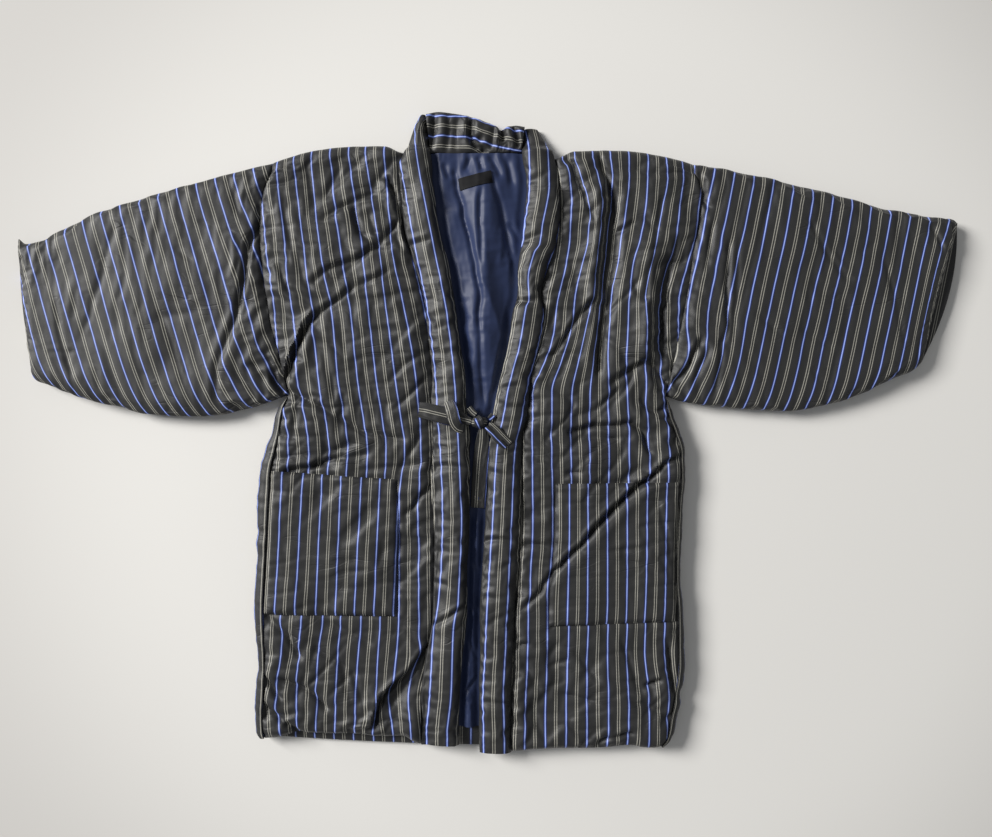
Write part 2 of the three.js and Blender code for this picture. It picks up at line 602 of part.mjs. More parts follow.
const stripSection = [
  { across: -0.5, up: 0 },
  { across: -0.42, up: 0.5 },
  { across: 0.42, up: 0.5 },
  { across: 0.5, up: 0 },
  { across: 0.42, up: -0.5 },
  { across: -0.42, up: -0.5 },
];
const lumpSection = [0, 45, 90, 135, 180, 225, 270, 315].map((angle) => {
  const turn = THREE.MathUtils.degToRad(angle);
  return { across: 0.5 * Math.cos(turn), up: 0.5 * Math.sin(turn) };
});

function stripBody(rows, section) {
  const rings = rows.map(({ x, y, z, width, thick }, i) => {
    const before = rows[Math.max(0, i - 1)];
    const after = rows[Math.min(rows.length - 1, i + 1)];
    const run = Math.hypot(after.x - before.x, after.y - before.y);
    const sideX = -(after.y - before.y) / run;
    const sideY = (after.x - before.x) / run;
    return section.map(({ across, up }) => [x + sideX * across * width, y + sideY * across * width, z + up * thick]);
  });
  return cappedBody(rings);
}
addPiece('tie_loop', stripBody(tieLoopRows, stripSection), cloth.stripe, 0.55);
addPiece('tie_end', stripBody(tieEndRows, stripSection), cloth.stripe, 0.55);
addPiece('tie_tail', stripBody(tieTailRows, stripSection), cloth.stripe, 0.55);
addPiece('tie_root_right', stripBody(tieRootRightRows, stripSection), cloth.stripeShade, 0.55);
addPiece('tie_root_left', stripBody(tieRootLeftRows, stripSection), cloth.stripeShade, 0.55);
addPiece('tie_knot', stripBody(knotRows, lumpSection), cloth.stripeShade, 0.6);

// Bare neck label, sewn on the lining under the neck seam
const label = { left: { x: -40, y: 346.5 }, right: { x: 7, y: 357.5 }, height: 14, thickness: 0.6 };
const labelRows = [-0.5, 0.5].map((across) => {
  return [0, 0.33, 0.66, 1].map((share) => [
    THREE.MathUtils.lerp(label.left.x, label.right.x, share) - across * 2.8,
    THREE.MathUtils.lerp(label.left.y, label.right.y, share) + across * label.height,
  ]);
});
const labelLevel = (z) => labelRows.map((line) => line.map(([x, y]) => [x, y, z]));
addPiece(
  'neck_label',
  sheetBody(labelLevel(liningTop + seamGap + label.thickness), labelLevel(liningTop + seamGap)),
  cloth.label,
  0.6,
);

export default garment;
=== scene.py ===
import math

import bpy
import numpy as np
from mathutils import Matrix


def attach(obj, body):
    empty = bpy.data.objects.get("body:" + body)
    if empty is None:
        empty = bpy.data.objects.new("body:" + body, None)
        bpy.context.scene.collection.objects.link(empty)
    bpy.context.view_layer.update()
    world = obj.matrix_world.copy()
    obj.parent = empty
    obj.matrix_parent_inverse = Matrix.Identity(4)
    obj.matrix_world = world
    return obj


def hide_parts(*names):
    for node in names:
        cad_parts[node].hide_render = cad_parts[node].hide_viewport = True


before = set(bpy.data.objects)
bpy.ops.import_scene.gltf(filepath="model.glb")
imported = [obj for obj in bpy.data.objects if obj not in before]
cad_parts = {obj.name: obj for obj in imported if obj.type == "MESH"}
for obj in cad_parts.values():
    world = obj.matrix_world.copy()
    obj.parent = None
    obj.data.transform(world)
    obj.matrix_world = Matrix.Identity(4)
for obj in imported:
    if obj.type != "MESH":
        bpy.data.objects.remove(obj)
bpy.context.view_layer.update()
scene = bpy.context.scene

# The floor and the room.
# A smooth warm grey table top, lit by one wide window at the upper left and by pale walls all round.
# The floor is only a stand for the garment; its colour is painted darker away from a point near the middle,
# a painted fall-off of light towards the edges.
floor_colour = (0.76, 0.748, 0.722, 1)
# Painted shade: the darker colour the floor takes far from its middle, standing in for light falling off.
floor_painted_shade_colour = (0.55, 0.537, 0.518, 1)
floor_reach = 6
floor_drop = 0.0004
floor_painted_light_middle = (0.13, -0.02, 0)
floor_shade_start, floor_shade_full = 0.55, 1.05
room_colour = (0.96, 0.98, 1.0, 1)
room_strength = 0.25
window_place = (-7.1, 2.9, 4.7)
window_size = (3.6, 3.2)
window_power = 1240
window_colour = (1.0, 0.985, 0.96)

floor_corners = [(x * floor_reach, y * floor_reach, 0) for x, y in ((-1, -1), (1, -1), (1, 1), (-1, 1))]
floor_mesh = bpy.data.meshes.new("floor")
floor_mesh.from_pydata(floor_corners, [], [(0, 1, 2, 3)])
floor = bpy.data.objects.new("floor", floor_mesh)
scene.collection.objects.link(floor)
floor.location.z = -floor_drop
floor_finish = bpy.data.materials.new("floor_matt")
floor_finish.use_nodes = True
floor_tree = floor_finish.node_tree
floor_shader = floor_tree.nodes["Principled BSDF"]
floor_place = floor_tree.nodes.new("ShaderNodeTexCoord")
floor_away = floor_tree.nodes.new("ShaderNodeVectorMath")
floor_away.operation = "DISTANCE"
floor_away.inputs[1].default_value = floor_painted_light_middle
floor_tree.links.new(floor_place.outputs["Object"], floor_away.inputs[0])
floor_painted_shade_share = floor_tree.nodes.new("ShaderNodeMapRange")
floor_painted_shade_share.interpolation_type = "SMOOTHSTEP"
floor_painted_shade_share.inputs["From Min"].default_value = floor_shade_start
floor_painted_shade_share.inputs["From Max"].default_value = floor_shade_full
floor_tree.links.new(floor_away.outputs["Value"], floor_painted_shade_share.inputs["Value"])
# Painted shade: blends the floor towards the darker colour with distance from the middle point.
floor_painted_shade_mix = floor_tree.nodes.new("ShaderNodeMix")
floor_painted_shade_mix.data_type = "RGBA"
floor_tree.links.new(floor_painted_shade_share.outputs["Result"], floor_painted_shade_mix.inputs["Factor"])
floor_painted_shade_mix.inputs[6].default_value = floor_colour
floor_painted_shade_mix.inputs[7].default_value = floor_painted_shade_colour
floor_tree.links.new(floor_painted_shade_mix.outputs[2], floor_shader.inputs["Base Color"])
floor_shader.inputs["Roughness"].default_value = 0.8
floor_mesh.materials.append(floor_finish)

world = bpy.data.worlds.new("pale_room")
world.use_nodes = True
world.node_tree.nodes["Background"].inputs["Color"].default_value = room_colour
world.node_tree.nodes["Background"].inputs["Strength"].default_value = room_strength
scene.world = world

window_light = bpy.data.lights.new("window", "AREA")
window_light.shape = "RECTANGLE"
window_light.size, window_light.size_y = window_size
window_light.energy = window_power
window_light.color = window_colour
window = bpy.data.objects.new("window", window_light)
scene.collection.objects.link(window)
window.location = window_place
window_way = [-value for value in window_place]
window.rotation_euler = (
    math.atan2(math.hypot(window_way[0], window_way[1]), -window_way[2]),
    0,
    math.atan2(window_way[1], window_way[0]) - math.pi / 2,
)

# The camera.
# It looks straight down on the garment, as the photograph was taken, from the height that gives its scale.
camera_lens = 33
camera_sensor = 36
camera_aim = (0.0126, 0.019)
picture_width = 1.389
garment_lift = 0.012
camera_height = picture_width * camera_lens / camera_sensor + garment_lift
camera_data = bpy.data.cameras.new("camera")
camera_data.lens = camera_lens
camera_data.sensor_width = camera_sensor
camera = bpy.data.objects.new("camera", camera_data)
scene.collection.objects.link(camera)
camera.location = (*camera_aim, camera_height)
scene.camera = camera
scene.view_settings.view_transform = "Standard"

# Striped cloth.
# A cotton and polyester satin in charcoal, with a bright blue line and two fine cream lines in each repeat.
# It is the outside of every padded piece.
stripe_repeat = 27.3
blue_line = 2.15
cream_line = 0.95
cream_spread = 3.1
cream_dash = 1.9
millimetres = 1000.0
charcoal = (0.0175, 0.0180, 0.0202, 1)
charcoal_warm = (0.0280, 0.0277, 0.0266, 1)
navy_edge = (0.010, 0.016, 0.085, 1)
bright_blue = (0.19, 0.275, 0.73, 1)
# Painted highlight: the pale colour of the glint painted down the middle of each blue line.
painted_glint_blue = (0.42, 0.53, 0.95, 1)
cream = (0.50, 0.485, 0.42, 1)


def node(tree, kind, x, y, **values):
    made = tree.nodes.new(kind)
    made.location = (x, y)
    for key, value in values.items():
        setattr(made, key, value)
    return made


def math_node(tree, operation, first, second=None, x=0, y=0, clamp=False):
    made = node(tree, "ShaderNodeMath", x, y, operation=operation, use_clamp=clamp)
    for socket, value in ((0, first), (1, second)):
        if value is None:
            continue
        if isinstance(value, (int, float)):
            made.inputs[socket].default_value = value
        else:
            tree.links.new(value, made.inputs[socket])
    return made.outputs[0]


def mix_node(tree, share, first, second, x=0, y=0):
    made = node(tree, "ShaderNodeMix", x, y, data_type="RGBA")
    sockets = (made.inputs["Factor"], made.inputs[6], made.inputs[7])
    for socket, value in zip(sockets, (share, first, second)):
        if isinstance(value, (int, float, tuple)):
            socket.default_value = value
        else:
            tree.links.new(value, socket)
    return made.outputs[2]


stripe_group = bpy.data.node_groups.new("woven_stripes", "ShaderNodeTree")
stripe_group.interface.new_socket("Cloth", in_out="INPUT", socket_type="NodeSocketVector")
stripe_group.interface.new_socket("Color", in_out="OUTPUT", socket_type="NodeSocketColor")
stripe_group.interface.new_socket("Weave", in_out="OUTPUT", socket_type="NodeSocketFloat")
stripe_group.interface.new_socket("Wrinkle", in_out="OUTPUT", socket_type="NodeSocketFloat")
tree = stripe_group
group_in = node(tree, "NodeGroupInput", -1400, 0)
group_out = node(tree, "NodeGroupOutput", 900, 0)
split = node(tree, "ShaderNodeSeparateXYZ", -1200, 0)
tree.links.new(group_in.outputs["Cloth"], split.inputs[0])
across = math_node(tree, "MULTIPLY", split.outputs[0], millimetres, -1000, 100)
along = math_node(tree, "MULTIPLY", split.outputs[1], millimetres, -1000, -100)
repeat_place = math_node(tree, "PINGPONG", across, stripe_repeat / 2, -800, 100)


def band(distance, half_width, soft, x, y):
    """1 inside half_width of the line, falling to 0 over soft."""
    made = node(tree, "ShaderNodeMapRange", x, y, interpolation_type="SMOOTHSTEP")
    made.inputs["From Min"].default_value = half_width + soft
    made.inputs["From Max"].default_value = half_width - soft
    tree.links.new(distance, made.inputs["Value"])
    return made.outputs["Result"]


slub = node(tree, "ShaderNodeTexNoise", -800, -500)
slub.inputs["Scale"].default_value = 1.0
slub.inputs["Detail"].default_value = 3.0
slub_scale = node(tree, "ShaderNodeVectorMath", -1000, -500, operation="MULTIPLY")
slub_scale.inputs[1].default_value = (900.0, 90.0, 1.0)
tree.links.new(group_in.outputs["Cloth"], slub_scale.inputs[0])
tree.links.new(slub_scale.outputs[0], slub.inputs["Vector"])
ground_tone = mix_node(tree, slub.outputs["Fac"], charcoal, charcoal_warm, -500, -300)
edge_mask = band(repeat_place, blue_line * 0.95, 0.5, -500, 200)
core_mask = band(repeat_place, blue_line * 0.36, 0.5, -500, 350)
# Painted highlight: a narrow pale band painted along the middle of each blue line as a glint.
painted_glint_mask = band(repeat_place, blue_line * 0.12, 0.45, -500, 500)
cream_middle = math_node(tree, "SUBTRACT", repeat_place, stripe_repeat / 2, -650, -50)
cream_side = math_node(tree, "ADD", cream_middle, cream_spread / 2, -600, -50)
cream_away = math_node(tree, "ABSOLUTE", cream_side, None, -550, -50)
cream_mask = band(cream_away, cream_line * 0.5, 0.3, -500, -50)
dash_turn = math_node(tree, "MULTIPLY", along, 2 * math.pi / cream_dash, -800, -200)
dash_wave = math_node(tree, "SINE", dash_turn, None, -650, -200)
dash_swing = math_node(tree, "MULTIPLY", dash_wave, 0.24, -500, -200)
dash = math_node(tree, "ADD", dash_swing, 0.66, -350, -200)
cream_share = math_node(tree, "MULTIPLY", cream_mask, dash, -200, -100)
tone = mix_node(tree, edge_mask, ground_tone, navy_edge, 0, 200)
tone = mix_node(tree, core_mask, tone, bright_blue, 150, 200)
tone = mix_node(tree, painted_glint_mask, tone, painted_glint_blue, 300, 200)
tone = mix_node(tree, cream_share, tone, cream, 450, 200)
tree.links.new(tone, group_out.inputs["Color"])
twill_place = math_node(tree, "ADD", across, along, -700, -700)
twill_turn = math_node(tree, "MULTIPLY", twill_place, 7.0, -550, -700)
twill = math_node(tree, "SINE", twill_turn, None, -400, -700)
twill_height = math_node(tree, "MULTIPLY", twill, 0.2, -250, -700)
weave = math_node(tree, "ADD", twill_height, slub.outputs["Fac"], -100, -650)
tree.links.new(weave, group_out.inputs["Weave"])


def fine_creases(turn, cell_x, cell_y, width, x, y):
    """Thin crooked valleys, 0 at the bottom and 1 between them."""
    place = node(tree, "ShaderNodeMapping", x, y, vector_type="POINT")
    place.inputs["Rotation"].default_value = (0, 0, turn)
    place.inputs["Scale"].default_value = (1000 / cell_x, 1000 / cell_y, 1)
    tree.links.new(group_in.outputs["Cloth"], place.inputs["Vector"])
    noise = node(tree, "ShaderNodeTexNoise", x + 200, y)
    noise.inputs["Scale"].default_value = 1.0
    noise.inputs["Detail"].default_value = 1.5
    noise.inputs["Distortion"].default_value = 0.5
    tree.links.new(place.outputs[0], noise.inputs["Vector"])
    from_middle = math_node(tree, "SUBTRACT", noise.outputs["Fac"], 0.5, x + 400, y)
    off = math_node(tree, "ABSOLUTE", from_middle, None, x + 500, y)
    valley = node(tree, "ShaderNodeMapRange", x + 650, y, interpolation_type="SMOOTHSTEP")
    valley.inputs["From Min"].default_value = 0
    valley.inputs["From Max"].default_value = width
    tree.links.new(off, valley.inputs["Value"])
    return valley.outputs["Result"]


patchy_place = node(tree, "ShaderNodeVectorMath", -1000, -1300, operation="SCALE")
patchy_place.inputs["Scale"].default_value = 14.0
tree.links.new(group_in.outputs["Cloth"], patchy_place.inputs[0])
patchy = node(tree, "ShaderNodeTexNoise", -800, -1300)
patchy.inputs["Scale"].default_value = 1.0
tree.links.new(patchy_place.outputs[0], patchy.inputs["Vector"])
patchy_share = node(tree, "ShaderNodeMapRange", -600, -1300, interpolation_type="SMOOTHSTEP")
patchy_share.inputs["From Min"].default_value = 0.5
patchy_share.inputs["From Max"].default_value = 0.72
tree.links.new(patchy.outputs["Fac"], patchy_share.inputs["Value"])
first_creases = fine_creases(0.6, 90, 30, 0.03, -1000, -1000)
second_creases = fine_creases(-0.5, 80, 34, 0.03, -1000, -1600)
both = math_node(tree, "MULTIPLY", first_creases, second_creases, 0, -1200)
level = math_node(tree, "SUBTRACT", both, 1.0, 150, -1200)
wrinkle = math_node(tree, "MULTIPLY", level, patchy_share.outputs["Result"], 300, -1200)
tree.links.new(wrinkle, group_out.inputs["Wrinkle"])


def striped_finish(name, roughness, sheen):
    finish = bpy.data.materials.new(name)
    finish.use_nodes = True
    tree = finish.node_tree
    shader = tree.nodes["Principled BSDF"]
    place = node(tree, "ShaderNodeUVMap", -900, 0, uv_map="Cloth")
    stripes = node(tree, "ShaderNodeGroup", -700, 0, node_tree=stripe_group)
    tree.links.new(place.outputs[0], stripes.inputs["Cloth"])
    tree.links.new(stripes.outputs["Color"], shader.inputs["Base Color"])
    bump = node(tree, "ShaderNodeBump", -300, -300)
    bump.inputs["Strength"].default_value = 0.35
    bump.inputs["Distance"].default_value = 0.00025
    tree.links.new(stripes.outputs["Weave"], bump.inputs["Height"])
    folds = node(tree, "ShaderNodeBump", -500, -450)
    folds.inputs["Strength"].default_value = 1.0
    folds.inputs["Distance"].default_value = 0.0005
    tree.links.new(stripes.outputs["Wrinkle"], folds.inputs["Height"])
    tree.links.new(folds.outputs[0], bump.inputs["Normal"])
    tree.links.new(bump.outputs[0], shader.inputs["Normal"])
    shader.inputs["Roughness"].default_value = roughness
    shader.inputs["Specular IOR Level"].default_value = 0.38
    shader.inputs["Sheen Weight"].default_value = sheen
    shader.inputs["Sheen Roughness"].default_value = 0.45
    shader.inputs["Sheen Tint"].default_value = (0.84, 0.86, 0.90, 1)
    return finish


striped_cloth = striped_finish("striped_satin", 0.5, 0.03)

# Back panel.
# One wadded width from the shoulders to the hem, its hem turned to the inside.
# The lining, the fronts and the collar lie on it, so only its hem and its neck edge show from above.
seam_gap = 0.3
back_top = 11.0
back_rows, back_columns = 210, 150
hem_belly = 7
hem_sink = 5.2
hem_reach = 5
# The back's top edge in millimetres: x and y of its seam with each front, x where the neck begins,
# and y of the neck
right_seam_x, right_seam_y, right_neck_x = -117, 386, -79
left_seam_x, left_seam_y, left_neck_x = 95, 378, 50
neck_seam_y = 389
shoulder_bow_height = 10.0
shoulder_bow_row = 19
wave_grid = 96

# Columns: y at the collar seam, x and y at the side
front_right_rows = [
    (-436, -310, -426), (-427, -312, -417), (-400, -313, -396), (-369, -311, -367), (-312, -310, -318),
    (-258, -312, -255), (-206, -310, -200), (-145, -307, -140), (-100, -304, -88), (-71, -302, -56),
    (-35, -295, -25), (-7, -289, 5), (20, -285, 30), (48, -276, 52), (73, -284, 82), (105, -290, 112),
    (143, -300, 148), (175, -306, 182), (210, -311, 218), (244, -315, 255), (281, -316, 291),
    (326, -312, 330), (355, -305, 350), (386, -299, 363),
]
front_left_rows = [
    (-444, 243, -438), (-435, 250, -428), (-405, 256, -400), (-369, 262, -367), (-320, 267, -318),
    (-274, 267, -265), (-206, 264, -200), (-145, 266, -140), (-100, 269, -95), (-72, 271, -70),
    (-35, 270, -30), (-7, 262, 0), (20, 253, 25), (48, 249, 50), (73, 254, 75), (105, 262, 110),
    (143, 270, 148), (175, 277, 185), (210, 283, 220), (244, 288, 255), (281, 295, 290), (326, 299, 328),
    (355, 295, 348), (378, 288, 361),
]


def read(rows, at, column):
    """The smooth line through one column of a table, read at the first column's values."""
    table = np.array(rows, dtype=float)
    keys, values = table[:, 0], table[:, column]
    at = np.clip(at, keys[0], keys[-1])
    steps = np.diff(values) / np.diff(keys)
    slopes = np.zeros_like(values)
    same = steps[:-1] * steps[1:] > 0
    slopes[1:-1][same] = 2 * steps[:-1][same] * steps[1:][same] / (steps[:-1][same] + steps[1:][same])
    slopes[0], slopes[-1] = steps[0], steps[-1]
    k = np.clip(np.searchsorted(keys, at) - 1, 0, len(keys) - 2)
    width = keys[k + 1] - keys[k]
    t = (at - keys[k]) / width
    bump = t * t * (3 - 2 * t)
    early = t * (1 - t) ** 2 * width * slopes[k]
    late = -t * t * (1 - t) * width * slopes[k + 1]
    return values[k] * (1 - bump) + values[k + 1] * bump + early + late


def ease(value):
    """0 to 1 with soft ends, held outside them."""
    value = np.clip(value, 0, 1)
    return value * value * (3 - 2 * value)


def hill(value, middle, width):
    """1 at the middle, falling away softly on both sides."""
    return np.exp(-((value - middle) / width) ** 2)


def fall(distance, reach):
    """1 at no distance, dying away over the reach."""
    return np.exp(-distance / reach)


def rough(x, y, cell_x, cell_y, seed, turn=0.0):
    """Smooth uneven waves of the given cell, in -1 to 1, the same each run."""
    c, s = math.cos(turn), math.sin(turn)
    u = (x * c + y * s) / cell_x + 40.3
    v = (-x * s + y * c) / cell_y + 40.7
    grid = np.random.RandomState(seed).uniform(-1, 1, (wave_grid, wave_grid))
    column, row = np.floor(u).astype(int), np.floor(v).astype(int)
    part_x, part_y = u - column, v - row
    part_x = part_x * part_x * part_x * (part_x * (part_x * 6 - 15) + 10)
    part_y = part_y * part_y * part_y * (part_y * (part_y * 6 - 15) + 10)
    here, beyond = column % wave_grid, (column + 1) % wave_grid
    low, high = row % wave_grid, (row + 1) % wave_grid
    near = grid[here, low] * (1 - part_x) + grid[beyond, low] * part_x
    far = grid[here, high] * (1 - part_x) + grid[beyond, high] * part_x
    return near * (1 - part_y) + far * part_y


def ripple(along, cell, seed):
    """Uneven waves that run one way only, along a seam or a hem."""
    return rough(along, along * 0, cell, 9, seed)


def make_piece(name, points, faces, cloth, material, sharp=48):
    """A closed piece from points in millimetres, with the cloth's own measure as its UV map."""
    mesh = bpy.data.meshes.new(name)
    points = np.asarray(points, dtype=np.float64) / 1000
    faces = np.asarray(faces, dtype=np.int32)
    a, b, c = points[faces[:, 0]], points[faces[:, 1]], points[faces[:, 2]]
    d = points[faces[:, 3]]
    volume = np.einsum("ij,ij->i", a, np.cross(b, c)).sum() + np.einsum("ij,ij->i", a, np.cross(c, d)).sum()
    if volume < 0:
        faces = faces[:, ::-1]
    mesh.vertices.add(len(points))
    mesh.vertices.foreach_set("co", points.ravel())
    mesh.loops.add(faces.size)
    mesh.loops.foreach_set("vertex_index", np.ascontiguousarray(faces).ravel())
    mesh.polygons.add(len(faces))
    mesh.polygons.foreach_set("loop_start", np.arange(0, faces.size, 4, dtype=np.int32))
    mesh.polygons.foreach_set("use_smooth", np.ones(len(faces), dtype=bool))
    layer = mesh.uv_layers.new(name="Cloth")
    layer.uv.foreach_set("vector", (np.asarray(cloth, dtype=np.float64)[faces.ravel()] / 1000).ravel())
    mesh.update()
    mesh.validate()
    mesh.set_sharp_from_angle(angle=math.radians(sharp))
    mesh.materials.append(material)
    piece = bpy.data.objects.new(name, mesh)
    scene.collection.objects.link(piece)
    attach(piece, "root")
    return piece


def sheet_piece(name, upper, lower, cloth, material, sharp=48):
    """A piece between two grids of points, closed round its border."""
    rows, columns = upper.shape[:2]
    shift = rows * columns
    number = np.arange(shift).reshape(rows, columns)
    under = number + shift
    top = [number[:-1, :-1], number[:-1, 1:], number[1:, 1:], number[1:, :-1]]
    bottom = [under[:-1, :-1], under[1:, :-1], under[1:, 1:], under[:-1, 1:]]
    border = np.concatenate([number[0, :-1], number[:-1, -1], number[-1, :0:-1], number[:0:-1, 0]])
    after = np.roll(border, -1)
    rim = [border, border + shift, after + shift, after]
    quads = [np.stack(corners, -1).reshape(-1, 4) for corners in (top, bottom, rim)]
    points = np.concatenate([upper.reshape(-1, 3), lower.reshape(-1, 3)])
    coords = np.concatenate([cloth.reshape(-1, 2), cloth.reshape(-1, 2)])
    return make_piece(name, points, np.concatenate(quads), coords, material, sharp)


def shoulder_bow(rows, y, share):
    """How far the shoulder line bows up between the collar and the arm."""
    start, end = rows[shoulder_bow_row][0], rows[-1][0]
    risen = np.clip((y - start) / (end - start), 0, 1)
    return shoulder_bow_height * risen * 4 * share * (1 - share) * (0.7 + 0.6 * share)


def fold_edge_y(rows, seam_x, x):
    """y of the line under the shoulder where the back meets the front, read at x."""
    y, side_x, side_y = rows[-1][:3]
    share = np.clip((x - seam_x) / (side_x - seam_x), 0, 1)
    return y + (side_y - y) * share + shoulder_bow(rows, y, share)


back_share = np.linspace(0, 1, back_columns)[None, :]
level = np.linspace(0, 1, back_rows)[:, None]
right_table, left_table = np.array(front_right_rows), np.array(front_left_rows)
steps_at = np.interp(level, np.linspace(0, 1, len(right_table)), np.arange(len(right_table)))
pair = [(k, *right_table[k, 1:3], *left_table[k, 1:3]) for k in range(len(right_table))]
right_x, right_y = read(pair, steps_at, 1), read(pair, steps_at, 2)
left_x, left_y = read(pair, steps_at, 3), read(pair, steps_at, 4)
back_x = right_x + (left_x - right_x) * back_share
back_y = right_y + (left_y - right_y) * back_share
belly = 4 * back_share * (1 - back_share)
back_y = back_y - hem_belly * belly * ease((2 - steps_at) / 2)
top_line = np.where(
    back_x <= right_seam_x,
    fold_edge_y(front_right_rows, right_seam_x, back_x),
    np.where(back_x >= left_seam_x, fold_edge_y(front_left_rows, left_seam_x, back_x), neck_seam_y),
)
right_slope = (back_x - right_seam_x) * (neck_seam_y - right_seam_y) / (right_neck_x - right_seam_x)
left_slope = (back_x - left_neck_x) * (neck_seam_y - left_seam_y) / (left_seam_x - left_neck_x)
beside_right = (back_x > right_seam_x) & (back_x < right_neck_x)
beside_left = (back_x > left_neck_x) & (back_x < left_seam_x)
top_line = np.where(beside_right, right_seam_y + right_slope, top_line)
top_line = np.where(beside_left, neck_seam_y - left_slope, top_line)
reach_up = ease((steps_at - (len(pair) - 4)) / 3)
flat_top = right_y[-1] + (left_y[-1] - right_y[-1]) * back_share
back_y = back_y + (top_line - seam_gap - 0.4 - flat_top) * reach_up
hem_away = back_y - (back_y[0:1] - 1)
back_wave = 0.5 * rough(back_x, back_y, 34, 34, 5) * ease(hem_away / 30)
back_z = back_top - hem_sink * fall(hem_away, hem_reach) + back_wave
back_z = np.minimum(back_z, back_top + 0.15)
back_pucker = ripple(back_x, 9, 8) * 1.6 * hill(hem_away, 7, 7)
back_upper = np.stack([back_x, back_y, back_z - np.abs(back_pucker)], -1)
under_z = 0.9 * fall(hem_away, 2.5)
back_lower = np.stack([back_x, back_y, under_z], -1)
back_cloth = np.stack([back_x - 4.6 + rough(back_x, back_y, 90, 130, 4) * 1.5, back_y], -1)
back = sheet_piece("back_panel", back_upper, back_lower, back_cloth, striped_cloth)
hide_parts("back")

# Front panels.
# Wadded like the back and cut in one with it over the shoulder, each sewn to the collar band, the sleeve
# and the side gusset. They carry most of the creases.
picture_step = 1.404
picture_middle = (487, 432)
front_steps, front_columns = 321, 89
front_bottom = 12.0
front_rise = 12.5
fold_centre = 12.0
shoulder_roll = 13.0
inner_roll = 0.8
roll_steps = 15
seam_sink, side_sink, hem_edge_sink = 5.6, 5.2, 6.5
pocket_calm_from, pocket_calm_to = -268, -62
pocket_groove = 2.3
underarm_row = 13
# Columns: height of the wave, cell across, cell along, place in the seeds, turn
front_wadding = [(2.7, 50, 66, 6, 0), (1.4, 24, 34, 7, 0.5), (0.22, 9, 13, 8, -0.4), (0.06, 4.5, 6, 9, 0)]
# Columns: depth of the folds, their length and width, place in the seeds, turn
front_folds = [(3.2, 95, 30, 12, 0.8), (1.9, 60, 21, 13, 0.1)]
# A crease: how crooked it is, width of its sharp bottom line, place and width of the rims beside that line,
# how far it pulls the stripes, and the way towards the window, on which side it is wider
crease_wobble = 2.2
crease_line = 3.1
rim_place, rim_width, rim_share = 6.5, 3.0, 0.25
tuck_reach = 16
light_x, light_y = 0.62, 0.78

# Columns: y, x of the seam with the front, x of the free edge, puff
collar_right_rows = [
    (-440, -91.5, -39, 0.7), (-369, -91.5, -38, 1), (-312, -85, -34, 1.03), (-260, -76, -28, 0.97),
    (-206, -74, -27, 1.04), (-145, -73, -25, 0.98), (-70, -78, -23, 1.02), (-7, -75, -23, 0.95),
    (45, -78, -29, 0.97), (73, -76, -30, 1.03), (143, -83, -39, 1), (175, -86, -43, 1.05),
    (244, -104, -55, 1), (281, -114, -65, 1.04), (326, -119, -72, 1), (369, -123, -76, 1.02),
    (386, -117, -78, 1), (389.5, -115.5, -79, 0.98), (394, -113.5, -79.5, 0.97), (401, -111, -80, 0.95),
    (431, -101, -84, 0.8), (445, -94, -86, 0.55),
]
collar_left_rows = [
    (-449, 34, -10, 0.7), (-420, 33, -11, 1), (-369, 34, -11.5, 1.03), (-334, 36, -11, 0.98),
    (-247, 39, -10, 1.04), (-166, 46, -5, 0.95), (-124, 48, -3, 1.02), (-70, 48, 1, 0.98),
    (-7, 49, 3, 1.03), (20, 56, 7, 0.95), (73, 61, 18, 1.02), (143, 77, 32, 0.97), (163, 79, 35, 1.04),
    (192, 76, 41, 0.92), (227, 84, 43, 1.02), (265, 97, 48, 0.98), (309, 102, 52, 1.04),
    (351, 100, 55, 1), (378, 95, 50, 1), (389.5, 91.5, 48.5, 1), (394, 89.5, 48.7, 0.95),
    (401, 85.5, 49, 0.9), (425, 71, 51.5, 0.6),
]
